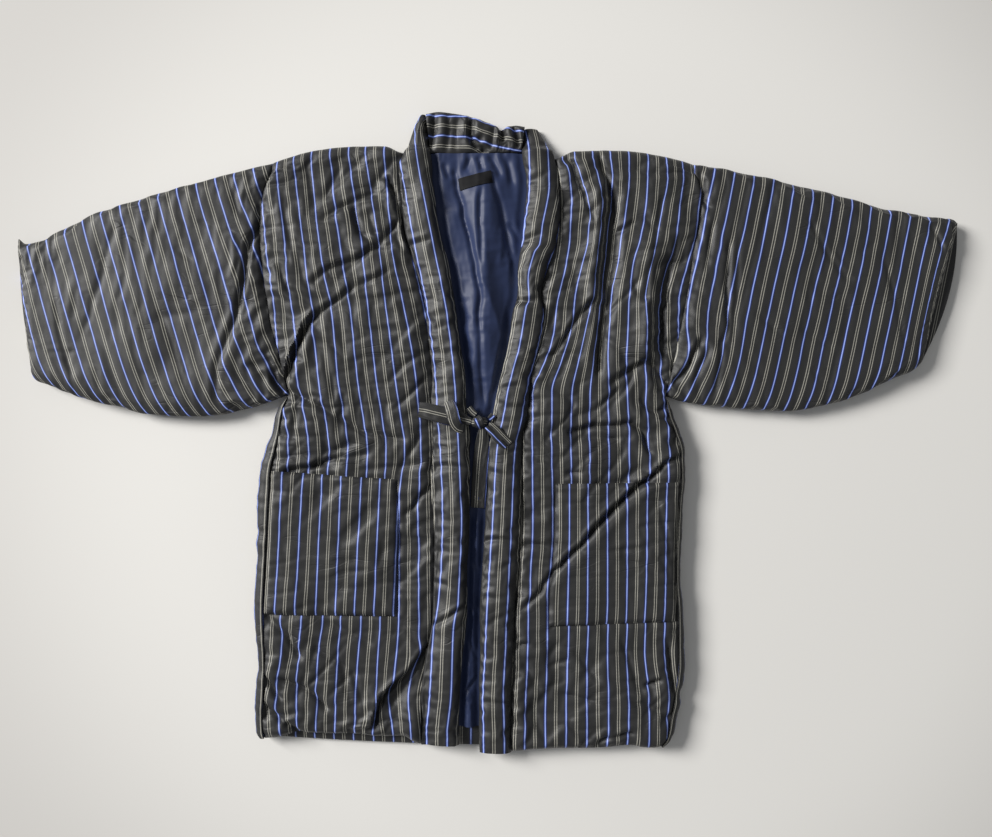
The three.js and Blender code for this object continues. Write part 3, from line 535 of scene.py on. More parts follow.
# Columns: from and to in the picture, reach left and right of the way, depth, cloth swallowed
front_right_creases = [
    (290, 390, 318, 405, 9, 4, 3.2, 6), (318, 405, 344, 420, 9, 4, 3.4, 6),
    (344, 420, 366, 431, 8, 4, 3.0, 6), (366, 431, 405, 438, 7, 4, 2.4, 5),
    (288, 471, 313, 466, 4, 9, 4.5, 4), (313, 466, 333, 459, 4, 10, 5.0, 5),
    (333, 459, 368, 453, 4, 7, 3.0, 4), (434, 483, 407, 513, 4, 5, 2.6, 3),
    (419, 551, 391, 564, 9, 7, -1.8, 0), (391, 564, 366, 571, 9, 7, -1.8, 0),
    (366, 571, 340, 600, 9, 7, -1.8, 0), (340, 600, 330, 640, 9, 7, -1.6, 0),
    (430, 643, 409, 668, 14, 2.2, 8.0, 8), (409, 668, 384, 694, 15, 2.2, 11.0, 10),
    (384, 694, 374, 722, 13, 2.2, 9.5, 8), (420, 660, 392, 705, 16, 12, 3.0, 0),
    (266, 614, 288, 631, 6, 9, 4.0, 4), (288, 631, 304, 654, 6, 9, 4.4, 5),
    (262, 671, 283, 698, 5, 7, 4.0, 4), (259, 690, 268, 716, 5, 7, 4.0, 3),
    (281, 677, 312, 687, 6, 9, 3.8, 4), (312, 687, 328, 706, 6, 9, 4.2, 5),
    (265, 702, 289, 720, 5, 8, 4.2, 4), (289, 720, 304, 733, 5, 8, 6.5, 5),
    (310, 640, 352, 668, 16, 14, 3.0, 0), (330, 620, 372, 640, 16, 14, 2.6, 0),
    (352, 668, 366, 700, 14, 12, 2.6, 0), (376, 195, 347, 207, 4, 10, 3.0, 4),
    (347, 207, 325, 221, 4, 10, 2.6, 4), (355, 210, 363, 236, 12, 8, 4.2, 5),
    (363, 236, 381, 248, 9, 5, 3.6, 5), (399, 223, 381, 248, 6, 7, 3.6, 4),
    (370, 214, 378, 238, 12, 12, 2.4, 0), (381, 248, 360, 260, 10, 6, 3.6, 4),
    (360, 260, 329, 272, 10, 6, 3.0, 4), (329, 272, 316, 284, 8, 5, 2.2, 3),
    (390, 272, 353, 290, 9, 5, 2.8, 4), (353, 290, 333, 305, 9, 5, 3.2, 4),
    (333, 305, 308, 324, 9, 5, 3.2, 4), (343, 169, 327, 200, 7, 9, 1.6, 2),
    (288, 212, 293, 250, 4, 5, 1.4, 2), (283, 267, 293, 296, 4, 5, 2.0, 3),
    (306, 328, 298, 348, 3.4, 3.4, 9.5, 5), (298, 348, 288, 376, 3.6, 3.6, 11, 5),
    (318, 312, 305, 330, 5, 4, 3.6, 4), (388, 180, 396, 197, 5, 4, 6.0, 3),
    (396, 197, 404, 222, 5, 3.5, 4.0, 3), (404, 222, 414, 254, 6, 3.5, 6.5, 3),
    (300, 400, 292, 440, 6, 8, 1.6, 2), (352, 440, 330, 452, 6, 6, 1.6, 2),
    (420, 440, 400, 470, 6, 6, 1.6, 2), (300, 260, 316, 300, 7, 7, 1.4, 2),
    (310, 170, 318, 210, 8, 8, 1.2, 2), (285, 376, 292, 392, 4, 4, 8.0, 3),
    (278, 388, 290, 395, 4, 4, 7.0, 2), (340, 655, 352, 700, 14, 10, 1.6, 0),
    (320, 640, 300, 690, 12, 12, 1.4, 0), (270, 640, 262, 668, 5, 6, 1.8, 2),
    (355, 470, 420, 462, 8, 8, 1.2, 2), (300, 735, 345, 733, 4, 6, 2.0, 2),
    (350, 728, 378, 724, 4, 6, 2.4, 2),
]
front_left_creases = [
    (682, 452, 660, 465, 6, 4, 4.0, 3), (660, 465, 643, 480, 4, 3, 7.0, 3),
    (643, 480, 610, 508, 4, 3, 8.0, 3), (610, 508, 585, 535, 4, 3, 7.5, 3),
    (585, 535, 552, 571, 4, 3, 6.0, 3), (552, 571, 524, 606, 5, 4, 3.0, 3),
    (560, 575, 530, 606, 5, 8, -1.6, 0), (568, 432, 586, 427, 5, 10, 4.2, 4),
    (586, 427, 628, 423, 5, 14, 4.6, 4), (575, 440, 622, 436, 12, 12, 2.4, 0),
    (628, 423, 642, 433, 5, 5, 4.4, 4), (642, 433, 649, 453, 6, 6, 4.0, 4),
    (571, 416, 596, 409, 6, 8, 2.2, 3), (596, 409, 617, 387, 6, 8, 2.4, 3),
    (508, 538, 522, 542, 4, 4, 2.6, 3), (522, 542, 547, 545, 4, 4, 2.6, 3),
    (566, 470, 580, 471, 3, 4, 1.6, 2), (580, 471, 584, 460, 3, 4, 1.4, 2),
    (617, 481, 630, 466, 3, 4, 1.6, 2), (643, 684, 659, 677, 5, 6, 4.2, 4),
    (595, 741, 606, 733, 5, 7, 4.0, 4), (606, 733, 632, 729, 5, 8, 3.4, 3),
    (513, 644, 530, 640, 4, 5, 2.4, 3), (547, 667, 569, 656, 8, 9, 2.0, 2),
    (598, 160, 610, 190, 6, 7, 4.0, 0), (610, 190, 611, 218, 5, 10, 8.0, 0),
    (611, 218, 610, 250, 5, 13, 10.0, 0), (610, 250, 607, 285, 5, 14, 11.0, 0),
    (607, 285, 603, 325, 5, 13, 11.0, 0), (603, 325, 597, 372, 5, 10, 8.0, 0),
    (600, 190, 590, 300, 6, 15, -5.0, 0), (653, 240, 645, 300, 20, 26, -9.5, 0),
    (645, 300, 645, 362, 20, 24, -10.5, 0), (668, 262, 662, 310, 7, 16, 8.0, 0),
    (662, 310, 661, 358, 7, 16, 8.0, 0), (592, 300, 578, 317, 9, 4, 4.0, 4),
    (578, 317, 563, 339, 9, 4, 4.0, 4), (563, 339, 549, 357, 8, 4, 3.0, 3),
    (613, 236, 622, 232, 3, 4, 2.4, 2), (622, 232, 633, 224, 3, 4, 2.2, 2),
    (643, 219, 653, 231, 3, 4, 2.2, 2), (552, 156, 572, 163, 4, 9, 4.0, 3),
    (572, 163, 581, 190, 4, 10, 4.2, 8), (581, 190, 594, 224, 4, 8, 3.2, 8),
    (632, 284, 637, 297, 5, 5, 2.6, 2), (637, 297, 645, 302, 5, 6, 2.6, 2),
    (660, 200, 650, 260, 8, 8, 2.0, 4), (650, 260, 642, 300, 7, 9, 3.0, 5),
    (675, 240, 660, 300, 8, 8, 2.4, 4), (646, 356, 664, 382, 5, 6, 5.0, 4),
    (664, 382, 671, 389, 5, 5, 5.0, 3), (609, 383, 630, 371, 5, 7, 3.4, 3),
    (630, 371, 645, 361, 5, 7, 3.4, 3), (652, 372, 660, 394, 4, 5, 3.0, 2),
    (668, 398, 671, 430, 7, 5, 2.0, 2), (610, 550, 647, 545, 4, 5, 1.4, 1),
    (640, 400, 655, 412, 5, 6, 2.6, 3), (655, 412, 668, 405, 5, 5, 2.4, 2),
    (536, 430, 562, 446, 5, 6, 1.8, 2), (529, 460, 560, 470, 5, 6, 1.6, 2),
    (556, 300, 548, 330, 7, 7, 1.6, 2), (560, 690, 600, 702, 12, 12, 2.6, 0),
    (620, 640, 640, 690, 12, 12, 2.8, 0), (665, 640, 672, 690, 7, 7, 3.4, 2),
    (575, 650, 596, 676, 9, 9, 2.4, 1), (640, 700, 668, 716, 8, 8, 3.0, 2),
    (520, 655, 540, 690, 9, 9, 2.2, 0), (530, 700, 545, 735, 10, 10, 1.2, 0),
    (655, 500, 670, 560, 9, 9, 1.8, 0),
]
# Columns: height in the picture, then the place of each blue line across it
front_right_lines = [
    (731, 282.4, 301, 318, 336.5, 356, 374, 394, 412),
    (695, 278.3, 298.2, 318, 337.4, 356.6, 376.4, 391, 409.5),
    (647, 283.9, 301.8, 320.7, 339.8, 360, 379.4, 397.5, 419.6),
    (617, 283.6, 304, 324.8, 342.3, 362.4, 381.3, 399.5, 419.6),
    (550, 284, 304, 324, 343, 362.5, 381.3, 400, 419.3),
    (500, 285, 305, 324, 343, 363, 381.5, 400, 419.3),
    (477, 289, 309.2, 329, 347.8, 367.6, 386, 402, 420),
    (452, 290.2, 310.3, 330.2, 349, 368.7, 387.1, 405.5, 422.2),
    (380, 281.5, 300.8, 320.7, 340.3, 359.2, 377.7, 396.6, 416.9),
    (317, 276.7, 294.5, 314.3, 334, 352.8, 370.6, 388.4, 406.8),
    (248, 268.8, 287.6, 306.7, 322.2, 341.9, 363.3, 380.5, 392.7),
    (152, 258, 277, 293.9, 311.9, 330.7, 348.9, 365.7, 385),
]
front_left_lines = [
    (731, 524.3, 544.7, 565, 585.4, 606.3, 626, 646.7, 664.2),
    (695, 525.3, 545.2, 565.5, 585.4, 606.7, 626.1, 646, 665.9),
    (647, 527.2, 546.4, 567.2, 586, 605.8, 624.7, 642.8, 661.8),
    (598, 528.5, 546.9, 568.4, 587.6, 607.5, 626.6, 644.8, 664.2),
    (525, 532.3, 552, 569.7, 588, 607.2, 626.9, 646.5, 665.4),
    (452.7, 531.9, 551, 569.9, 588.3, 607.2, 627, 647.2, 666.6),
    (394.5, 532, 550.8, 570.9, 588.8, 607.2, 626.1, 644.8, 661.8),
    (360, 545, 561, 577.5, 592, 606.8, 625, 643.9, 659.4),
    (329, 553.6, 570.5, 584.6, 596.5, 608.5, 626.3, 644.8, 657.4),
    (300, 557.2, 573, 591.5, 599.5, 609.6, 627.5, 643.3, 658.5),
    (270, 564, 579.6, 594.2, 603, 615.8, 630.5, 648.5, 665.5),
    (240, 568.7, 586.3, 597.3, 606, 620, 638.3, 655, 673.2),
    (209, 569.9, 587.3, 600.4, 609.5, 624.5, 643.2, 660.8, 676.8),
    (178.5, 567.4, 580.5, 596, 610.8, 627.3, 645.5, 665, 680.5),
    (152, 557, 570, 589, 607.4, 627.1, 647.1, 663, 680.5),
]


def gathers(along, cell, seed, small=0.4):
    """Puckers along a seam, wide ones with narrow ones on them."""
    return ripple(along, cell, seed) + small * ripple(along, 8, seed + 1)


def waves(x, y, sizes, seed):
    """The sum of a table of uneven waves."""
    total = 0
    for height, cell_x, cell_y, place, turn in sizes:
        total = total + height * rough(x, y, cell_x, cell_y, seed + place, turn)
    return total


def long_folds(x, y, long, wide, seed, turn):
    """Crooked valleys that run mostly one way, 0 to 1, deeper in some places than in others."""
    line = rough(x, y, long, wide, seed, turn)
    strong = rough(x, y, 70, 70, seed + 50)
    return np.exp(-(line / 0.17) ** 2) * np.clip(0.45 + 1.1 * strong, 0.05, 1)

def crease(folds, x, y, lean=0.0):
    """Height, sideways shift of the stripes and sharp bottom line of a table of creases, read at x, y.

    Columns: from and to in the picture, reach on the left and right of the way, depth (a ridge is negative),
    and how much cloth the crease swallows.
    """
    height = np.zeros_like(x)
    shift = np.zeros_like(x)
    cut = np.zeros_like(x)
    wobble = rough(x, y, 26, 26, 77) * crease_wobble
    for x0, y0, x1, y1, left, right, depth, tuck in folds:
        ax, ay = (x0 - picture_middle[0]) * picture_step, (picture_middle[1] - y0) * picture_step
        bx, by = (x1 - picture_middle[0]) * picture_step, (picture_middle[1] - y1) * picture_step
        length = math.hypot(bx - ax, by - ay)
        wx, wy = (bx - ax) / length, (by - ay) / length
        if depth > 0:
            lit_side = (-light_y * wy - light_x * wx) * 0.45
            right, left = right * (1 - lit_side), left * (1 + lit_side)
        along = ((x - ax) * wx + (y - ay) * wy) / length
        away = (x - ax) * wy - (y - ay) * wx + wobble
        reach = np.where(away > 0, right, left)
        ends = ease((along + 0.16) / 0.32) * ease((1.16 - along) / 0.32)
        depth_here = depth * ends
        sharp = np.exp(-np.sqrt(away * away + 3.5) / reach)
        shoulder = hill(np.abs(away), 2.6 * reach, 1.5 * reach)
        height += depth_here * (0.3 * shoulder - sharp)
        rims = hill(np.abs(away), rim_place, rim_width)
        cut += max(depth, 0) * ends * (hill(away, 0, crease_line) - rim_share * rims)
        pull = np.tanh(away / 3.2) * hill(away, 0, tuck_reach)
        shift += tuck * ends * 0.4 * pull * (wy * math.cos(lean) - wx * math.sin(lean))
    return height, shift, cut


def relax(start, cloth, spare_across, spare_along, base, low, rounds, wadding, stiff=0.4):
    """Moves a grid of cloth points until its threads have their own length again, border held."""
    cloth = cloth.astype(np.float32)
    held = cloth.copy()
    before = cloth.copy()
    rows, columns = base.shape
    links = []
    for down, side in ((0, 1), (1, 0), (1, 1), (1, -1)):
        for first in (0, 1):
            if down == 0:
                a = (slice(None), slice(first, columns - 1, 2))
                b = (slice(None), slice(first + 1, columns, 2))
            else:
                a = (slice(first, rows - 1, 2), slice(max(0, -side), columns - max(0, side)))
                b = (slice(first + 1, rows, 2), slice(max(0, side), columns + min(0, side)))
            step = start[b] - start[a]
            across = 1 + 0.5 * (spare_across[a] + spare_across[b])
            along = 1 + 0.5 * (spare_along[a] + spare_along[b])
            rest = np.sqrt((step[..., 0] * across) ** 2 + (step[..., 1] * along) ** 2 + step[..., 2] ** 2)
            links.append((a, b, rest.astype(np.float32), 0.5))
    for a, b in (((slice(0, rows - 2),), (slice(2, rows),)),
                 ((slice(None), slice(0, columns - 2)), (slice(None), slice(2, columns)))):
        rest = np.linalg.norm(start[b] - start[a], axis=-1) * 0.985
        links.append((a, b, rest.astype(np.float32), 0.5 * stiff))
    for _ in range(rounds):
        drift = (cloth - before) * np.float32(0.86)
        before = cloth.copy()
        cloth += drift
        cloth[..., 2] += np.float32(wadding) * (base - cloth[..., 2])
        for a, b, rest, share in links:
            step = cloth[b] - cloth[a]
            size = np.sqrt(np.einsum("ijk,ijk->ij", step, step)) + np.float32(1e-6)
            pull = 1 - rest / size
            if share < 0.5:
                pull = np.minimum(pull, 0)
            step *= (share * pull)[..., None]
            cloth[a] += step
            cloth[b] -= step
        cloth[..., 2] = np.maximum(cloth[..., 2], low)
        cloth[0], cloth[-1] = held[0], held[-1]
        cloth[:, 0], cloth[:, -1] = held[:, 0], held[:, -1]
    return cloth


def spread(values, skip, shape):
    """A coarse grid's values on the fine grid, smoothly."""
    for axis in (0, 1):
        at = np.arange(shape[axis]) / skip
        low = np.minimum(at.astype(int), values.shape[axis] - 2)
        part = (at - low).reshape((-1, 1, 1) if axis == 0 else (1, -1, 1))
        first, second = np.take(values, low, axis), np.take(values, low + 1, axis)
        values = first * (1 - part) + second * part
    for _ in range(skip if skip > 1 else 0):
        middle = values[1:-1, 1:-1] * 0.5
        around = values[:-2, 1:-1] + values[2:, 1:-1] + values[1:-1, :-2] + values[1:-1, 2:]
        values[1:-1, 1:-1] = middle + around * 0.125
    return values


def settle(points, spare_across, spare_along, low, wadding=0.008, levels=((4, 150), (2, 150), (1, 14))):
    """Lays cloth that is longer than its place: its sewn border stays and the rest buckles into folds.

    Large folds form first, on every fourth point, and smaller ones follow between them.
    """
    moved = np.zeros_like(points)
    low = low + 0 * points[..., 2]
    for skip, rounds in levels:
        grid = (slice(None, None, skip), slice(None, None, skip))
        start = points[grid]
        cloth = relax(start, start + moved[grid], spare_across[grid], spare_along[grid],
                      start[..., 2].astype(np.float32), low[grid].astype(np.float32), rounds, wadding)
        moved = spread((cloth - start).astype(np.float64), skip, points.shape)
    cloth = points + moved
    for _ in range(2):
        middle = cloth[1:-1, 1:-1]
        around = (cloth[:-2, 1:-1] + cloth[2:, 1:-1] + cloth[1:-1, :-2] + cloth[1:-1, 2:]) / 4
        cloth[1:-1, 1:-1] = middle * 0.6 + around * 0.4
    return cloth


def small_creases(seed, count, low, high, length, depth, heading, scatter):
    """A table of small random creases inside a box of the picture."""
    chance = np.random.RandomState(seed)
    rows = []
    for _ in range(count):
        x0 = chance.uniform(low[0], high[0])
        y0 = chance.uniform(low[1], high[1])
        turn = math.radians(heading + chance.normal(0, scatter))
        run = chance.uniform(0.5, 1.3) * length
        reach = chance.uniform(2.0, 4.5)
        sink = chance.uniform(0.35, 1.0) * depth
        bend = math.radians(chance.normal(0, 14))
        xm, ym = x0 + run * math.cos(turn), y0 + run * math.sin(turn)
        x1, y1 = xm + run * math.cos(turn + bend), ym + run * math.sin(turn + bend)
        rows.append((x0, y0, xm, ym, reach, reach * chance.uniform(0.8, 1.8), sink, sink * 0.8))
        rows.append((xm, ym, x1, y1, reach, reach * chance.uniform(0.8, 1.8), sink * 0.8, sink * 0.5))
    return rows


def cloth_place(lines, x, y):
    """Across and along the stripes, in millimetres, from a table of the blue lines in the picture."""
    rows = [((picture_middle[1] - row[0]) * picture_step, *row[1:]) for row in lines]
    px = x / picture_step + picture_middle[0]
    count = len(lines[0]) - 1
    marks = [read(rows, y, k + 1) for k in range(count)]
    across = np.minimum(px - marks[0], 0) + np.maximum(px - marks[-1], 0)
    across = across * picture_step
    for k in range(count - 1):
        across = across + stripe_repeat * np.clip((px - marks[k]) / (marks[k + 1] - marks[k]), 0, 1)
    return np.stack([across, y + 0 * x], -1)


def pocket_place(rows, pocket):
    """The front's rows and columns under the borders of its pocket."""
    mouth, hem, share_from, share_to = pocket
    seam_y = np.linspace(rows[0][0], rows[-1][0], front_steps)
    last = front_columns - 1
    return (*np.searchsorted(seam_y, (hem, mouth)), round(share_from * last), round(share_to * last))


def front_piece(name, rows, collar_rows, lines, creases, pocket, hem_lift, seed):
    """A front with its rolled shoulder fold, sunken seams, creases and the dip round its pocket."""
    hem, top = rows[0][0], rows[-1][0]
    height = hem + (top - hem) * np.linspace(0, 1, front_steps)[:, None]
    share = np.linspace(0, 1, front_columns)[None, :]
    share = share - 0.018 * np.sin(2 * math.pi * share)
    side = math.copysign(1, rows[0][1])
    seam_x = read(collar_rows, height, 1) + side * seam_gap
    side_x, side_y = read(rows, height, 1), read(rows, height, 2)
    x = seam_x + (side_x - seam_x) * share
    y = height + (side_y - height) * share + shoulder_bow(rows, height, share)
    hem_rise = hem_lift * ease(share / 0.12) * ease((1 - share) / 0.25) + 1.8 * ripple(x, 34, seed + 11)
    y = y + hem_rise * (1 - ease((height - hem) / 50))
    from_seam, from_side = np.abs(x - seam_x), np.abs(side_x - x)
    from_hem = (height - hem) + 0 * x
    sink, shift, cut = crease(creases, x, y)

    pucker_seam = gathers(y, 17, seed + 1)
    pucker_side = gathers(y, 17, seed + 3)
    z = front_bottom + front_rise + 1.0
    z = z - seam_sink * fall(from_seam, 6.5 + 2.5 * pucker_seam)
    z = z + 0.9 * pucker_seam * hill(from_seam, 11, 11)
    z = z - side_sink * fall(from_side, 7 + 2.5 * pucker_side)
    z = z + 0.9 * pucker_side * hill(from_side, 11, 11)
    z = z - hem_edge_sink * fall(from_hem, 4.5) + 0.9 * ripple(x, 17, seed + 5) * hill(from_hem, 8, 8)
    wad = waves(x, y, front_wadding, seed)
    for depth, long, wide, place, turn in front_folds:
        wad = wad - depth * long_folds(x, y, long, wide, seed + place, turn)
    inside = ease(np.minimum(from_seam, from_side) / 14)
    z = z + wad * (0.35 + 0.65 * inside) + 1.05 * sink * (0.5 + 0.5 * ease(from_side / 6))
    z = np.maximum(z, front_bottom + 3.4)

    under_pocket = ease((pocket_calm_to - y) / 10) * ease((y - pocket_calm_from) / 10)
    under_pocket = under_pocket * ease((share - 0.2) / 0.06)
    calm = (1 - 0.75 * under_pocket) * (1 + 0.7 * rough(x, y, 55, 55, seed + 20))
    spare_along = (0.018 + 0.042 * fall(from_seam, 20) + 0.042 * fall(from_side, 20)) * calm
    spare_across = (0.013 + 0.05 * fall(from_hem, 18)) * calm
    pit_x, pit_y = rows[underarm_row][1:3]
    underarm = np.exp(-(((x - pit_x) / 45) ** 2) - ((y - pit_y) / 55) ** 2)
    spare_along = spare_along + 0.05 * underarm
    spare_across = spare_across + 0.03 * underarm
    upper = np.stack([x, y, z + 0 * x], -1)
    upper = settle(upper, spare_across, spare_along, front_bottom + 2.4, 0.006)
    upper[..., 2] = np.maximum(upper[..., 2] - 0.65 * cut * ease(from_side / 4), front_bottom + 2)

    hem_row, mouth_row, first, last = pocket_place(rows, pocket)
    row_at, column_at = np.arange(front_steps)[:, None], np.arange(front_columns)[None, :]
    below = np.maximum(hem_row - row_at, row_at - mouth_row)
    beside = np.maximum(first - column_at, column_at - last)
    off_corner, off_side = np.hypot(below, beside), np.abs(np.maximum(below, beside))
    off_edge = np.where((below > 0) & (beside > 0), off_corner, off_side)
    upper[..., 2] -= pocket_groove * hill(off_edge * 2.5, 0, 3.0) * ease(from_side / 4)

    lower = np.stack([x, y, front_bottom + 0 * x], -1)
    cloth = cloth_place(lines, x, y)
    cloth[..., 0] += shift
    start_x, start_y, rise = upper[-1, :, 0], upper[-1, :, 1], upper[-1, :, 2] - fold_centre
    out = shoulder_roll + 0.7 * ripple(start_x, 14, seed + 10)
    out = out * (0.3 + 0.7 * ease(np.abs(start_x - start_x[0]) / 26))
    roll_up, roll_low, roll_cloth = [], [], []
    for turn in np.linspace(0, math.pi, roll_steps)[1:]:
        radius = np.where(turn < math.pi / 2, rise, fold_centre)
        outer_z = fold_centre + radius * math.cos(turn)
        inner_z = fold_centre - inner_roll + inner_roll * math.cos(turn) + 0 * rise
        roll_up.append(np.stack([start_x, start_y + out * math.sin(turn), outer_z], -1))
        roll_low.append(np.stack([start_x, start_y + inner_roll * math.sin(turn), inner_z], -1))
        roll_cloth.append(np.stack([cloth[-1, :, 0], cloth[-1, :, 1] + shoulder_roll * turn], -1))
    upper = np.concatenate([upper, np.array(roll_up)])
    lower = np.concatenate([lower, np.array(roll_low)])
    cloth = np.concatenate([cloth, np.array(roll_cloth)])
    return sheet_piece(name, upper, lower, cloth, striped_cloth), upper


# The pockets: y of the mouth and of the bottom, share of the front's width at both sides
pocket_right_place = (-69, -256.5, 0.225, 0.985)
pocket_left_place = (-72, -273, 0.225, 0.985)
front_right_small = small_creases(11, 34, (275, 165), (420, 735), 11, 1.3, 70, 50)
front_left_small = small_creases(12, 36, (515, 160), (680, 735), 11, 1.3, 110, 50)
front_right, front_right_top = front_piece(
    "front_right_panel", front_right_rows, collar_right_rows, front_right_lines,
    front_right_creases + front_right_small, pocket_right_place, 11, 100)
front_left, front_left_top = front_piece(
    "front_left_panel", front_left_rows, collar_left_rows, front_left_lines,
    front_left_creases + front_left_small, pocket_left_place, 3, 200)
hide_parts("front_right")
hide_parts("front_left")

# Patch pockets.
# One layer of the striped cloth with its edges turned in and a stitched mouth hem.
# Each is sewn flat on the front and takes the front's creases.
pocket_lift = 1.1
pocket_width, pocket_depth = 180, 200
mouth_seam = 27
# Columns: height in the picture, then the place of each blue line across it
pocket_right_lines = [
    (610, 277.8, 297.7, 317.8, 337.4, 356.3, 375.5, 394.6),
    (482, 284.6, 305, 323.9, 342.8, 362.9, 381.3, 400),
]
pocket_creases = [
    (332, 514, 344, 509, 3, 4, 1.4, 1), (344, 509, 367, 508, 3, 4, 1.6, 1),
    (367, 508, 372, 498, 3, 4, 1.2, 1), (400, 516, 372, 520, 3, 4, 1.0, 1),
    (276, 507, 303, 499, 5, 8, 1.2, 0),
]


def pocket_piece(name, top, rows, lines, pocket, aside, seed):
    """A patch made from the front's own points between two rows and two columns, moved out."""
    hem_row, mouth_row, first, last = pocket_place(rows, pocket)
    base = top[hem_row:mouth_row + 1, first:last + 1].copy()
    up = np.linspace(0, 1, base.shape[0])[:, None]
    over = np.linspace(0, 1, base.shape[1])[None, :]
    x, y = base[..., 0], base[..., 1]
    edge = np.minimum(np.minimum(over, 1 - over) * pocket_width, np.minimum(up, 1 - up) * pocket_depth)
    mouth_away = (1 - up) * pocket_depth + 0 * x
    groove = -1.1 * hill(mouth_away, mouth_seam, 1.8) - 0.5 * hill(edge, 2.2, 1.4)
    pucker = 0.5 * rough(x, y, 7, 7, seed) * hill(mouth_away, mouth_seam + 2, 9)
    dent, slide, _ = crease(pocket_creases, x, y)
    lift = pocket_lift + 1.4 * ease(edge / 5) + groove + pucker + dent * 0.8
    lift = lift + 0.5 * rough(x, y, 30, 40, seed + 1) + 0.15 * rough(x, y, 8, 12, seed + 2)
    lift = np.maximum(lift, 0.7)
    upper = base.copy()
    upper[..., 2] += lift
    lower = base.copy()
    lower[..., 2] += seam_gap
    place = cloth_place(lines, x, y)
    place[..., 0] += slide + aside
    return sheet_piece(name, upper, lower, place, striped_cloth, sharp=60)


pocket_right = pocket_piece(
    "pocket_right_patch", front_right_top, front_right_rows, pocket_right_lines, pocket_right_place, 0, 300)
pocket_left = pocket_piece(
    "pocket_left_patch", front_left_top, front_left_rows, front_left_lines, pocket_left_place, 2.2, 310)
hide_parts("pocket_right")
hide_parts("pocket_left")

# Side gussets.
# A narrow strip of the same wadded cloth in each side, folded round from the front to the back.
# It is gathered into small waves by its two seams.
gusset_middle = 11.9
gusset_half = 11.2
gusset_steps = 230
gusset_turns = np.array([math.radians(a) for a in (90, 72, 54, 36, 18, 0, -18, -36, -54, -72, -90)])
# Columns: y, how far the strip stands out from the front's side
gusset_right_reach = [
    (-430, 6), (-417, 11.5), (-396, 12), (-367, 12), (-318, 11), (-255, 13), (-200, 12), (-140, 14.5),
    (-88, 17.5), (-56, 15), (-25, 14), (5, 11), (30, 9), (48, 1.5),
]
gusset_left_reach = [
    (-440, 2.5), (-428, 7), (-400, 9), (-367, 9), (-318, 9), (-265, 7), (-200, 6), (-140, 6), (-95, 5),
    (-70, 5), (-30, 6), (0, 7), (25, 6), (46, 1.5),
]


def ring_piece(name, rings, cloth):
    """A piece of striped cloth through rings of points, capped at both ends with a shrinking ring."""
    first, last = rings[0], rings[-1]
    inner_first = first.mean(0) + (first - first.mean(0)) * 0.02
    inner_last = last.mean(0) + (last - last.mean(0)) * 0.02
    rings = np.concatenate([inner_first[None], rings, inner_last[None]])
    cloth = np.concatenate([cloth[:1], cloth, cloth[-1:]])
    count, sides = rings.shape[:2]
    number = np.arange(count * sides).reshape(count, sides)
    after = np.roll(number, -1, 1)
    quads = [np.stack([number[:-1], after[:-1], after[1:], number[1:]], -1).reshape(-1, 4)]
    for line, flip in ((number[0], False), (number[-1], True)):
        cap = []
        for k in range(sides // 2 - 1):
            cap.append([line[k], line[(k + 1) % sides], line[sides - 2 - k], line[sides - 1 - k]])
        quads.append(np.array([quad if flip else quad[::-1] for quad in cap]))
    points, coords = rings.reshape(-1, 3), cloth.reshape(-1, 2)
    return make_piece(name, points, np.concatenate(quads), coords, striped_cloth, 60)


def gusset_piece(name, rows, reach, seed):
    """The folded strip as rings round its section, from the lower end to the underarm."""
    side_rows = [(row[2], row[1]) for row in rows[:underarm_row + 1]]
    low, high = side_rows[0][0], side_rows[-1][0] - 4
    y = np.linspace(low, high, gusset_steps)
    seam_x = read(side_rows, y, 1)
    side = math.copysign(1, rows[0][1])
    out = read(reach, y, 1)
    wave = gathers(y, 17, seed, 0.5)
    out = np.maximum(out + 1.6 * wave * np.minimum(out / 10, 1), 1.2)
    rings, cloth = [], []
    for k, turn in enumerate(gusset_turns):
        swell = 1 + 0.03 * rough(y, y * 0 + 40 * k, 11, 20, seed + 2)
        x = seam_x + side * (seam_gap + out * math.cos(turn) ** 0.8 * swell)
        z = gusset_middle + 0 * y + gusset_half * math.sin(turn) * (1 if turn < 0 else 0.9 + 0.1 * swell)
        pucker = 1.1 * wave * math.sin(turn) if turn > 0 else 0
        z = np.maximum(z + pucker, 0.7 * (1 - abs(math.cos(turn))))
        rings.append(np.stack([x, y, z], -1))
        cloth.append(np.stack([13.5 + 13 * (math.pi / 2 - turn) + 0 * y, y], -1))
    for back_in, z in ((0.0, 11.4), (0.28, 12.1), (0.0, 12.8)):
        rings.append(np.stack([seam_x + side * (seam_gap + out * back_in), y, 0 * y + z], -1))
        cloth.append(np.stack([44 + 0 * y, y], -1))
    return ring_piece(name, np.array(rings).transpose(1, 0, 2), np.array(cloth).transpose(1, 0, 2))


gusset_right = gusset_piece("gusset_right_strip", front_right_rows, gusset_right_reach, 400)
gusset_left = gusset_piece("gusset_left_strip", front_left_rows, gusset_left_reach, 410)
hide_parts("gusset_right")
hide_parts("gusset_left")

# Sleeves.
# Each is one wadded cloth folded along the top and sewn underneath, open at the armhole and at the cuff.
# They are pressed flat, with a few long folds from the underarm.
sleeve_steps = 137
cuff_step = 9
edge_columns, face_columns = 12, 103
sleeve_rise = 14.2
sleeve_inner = 0.8
# Columns: height of the wave, cell across, cell along, place in the seeds, turn
sleeve_wadding = [(1.6, 66, 50, 3, 0), (0.7, 28, 28, 4, 0.4), (0.2, 10, 14, 5, 0), (0.05, 4.5, 6, 6, 0)]
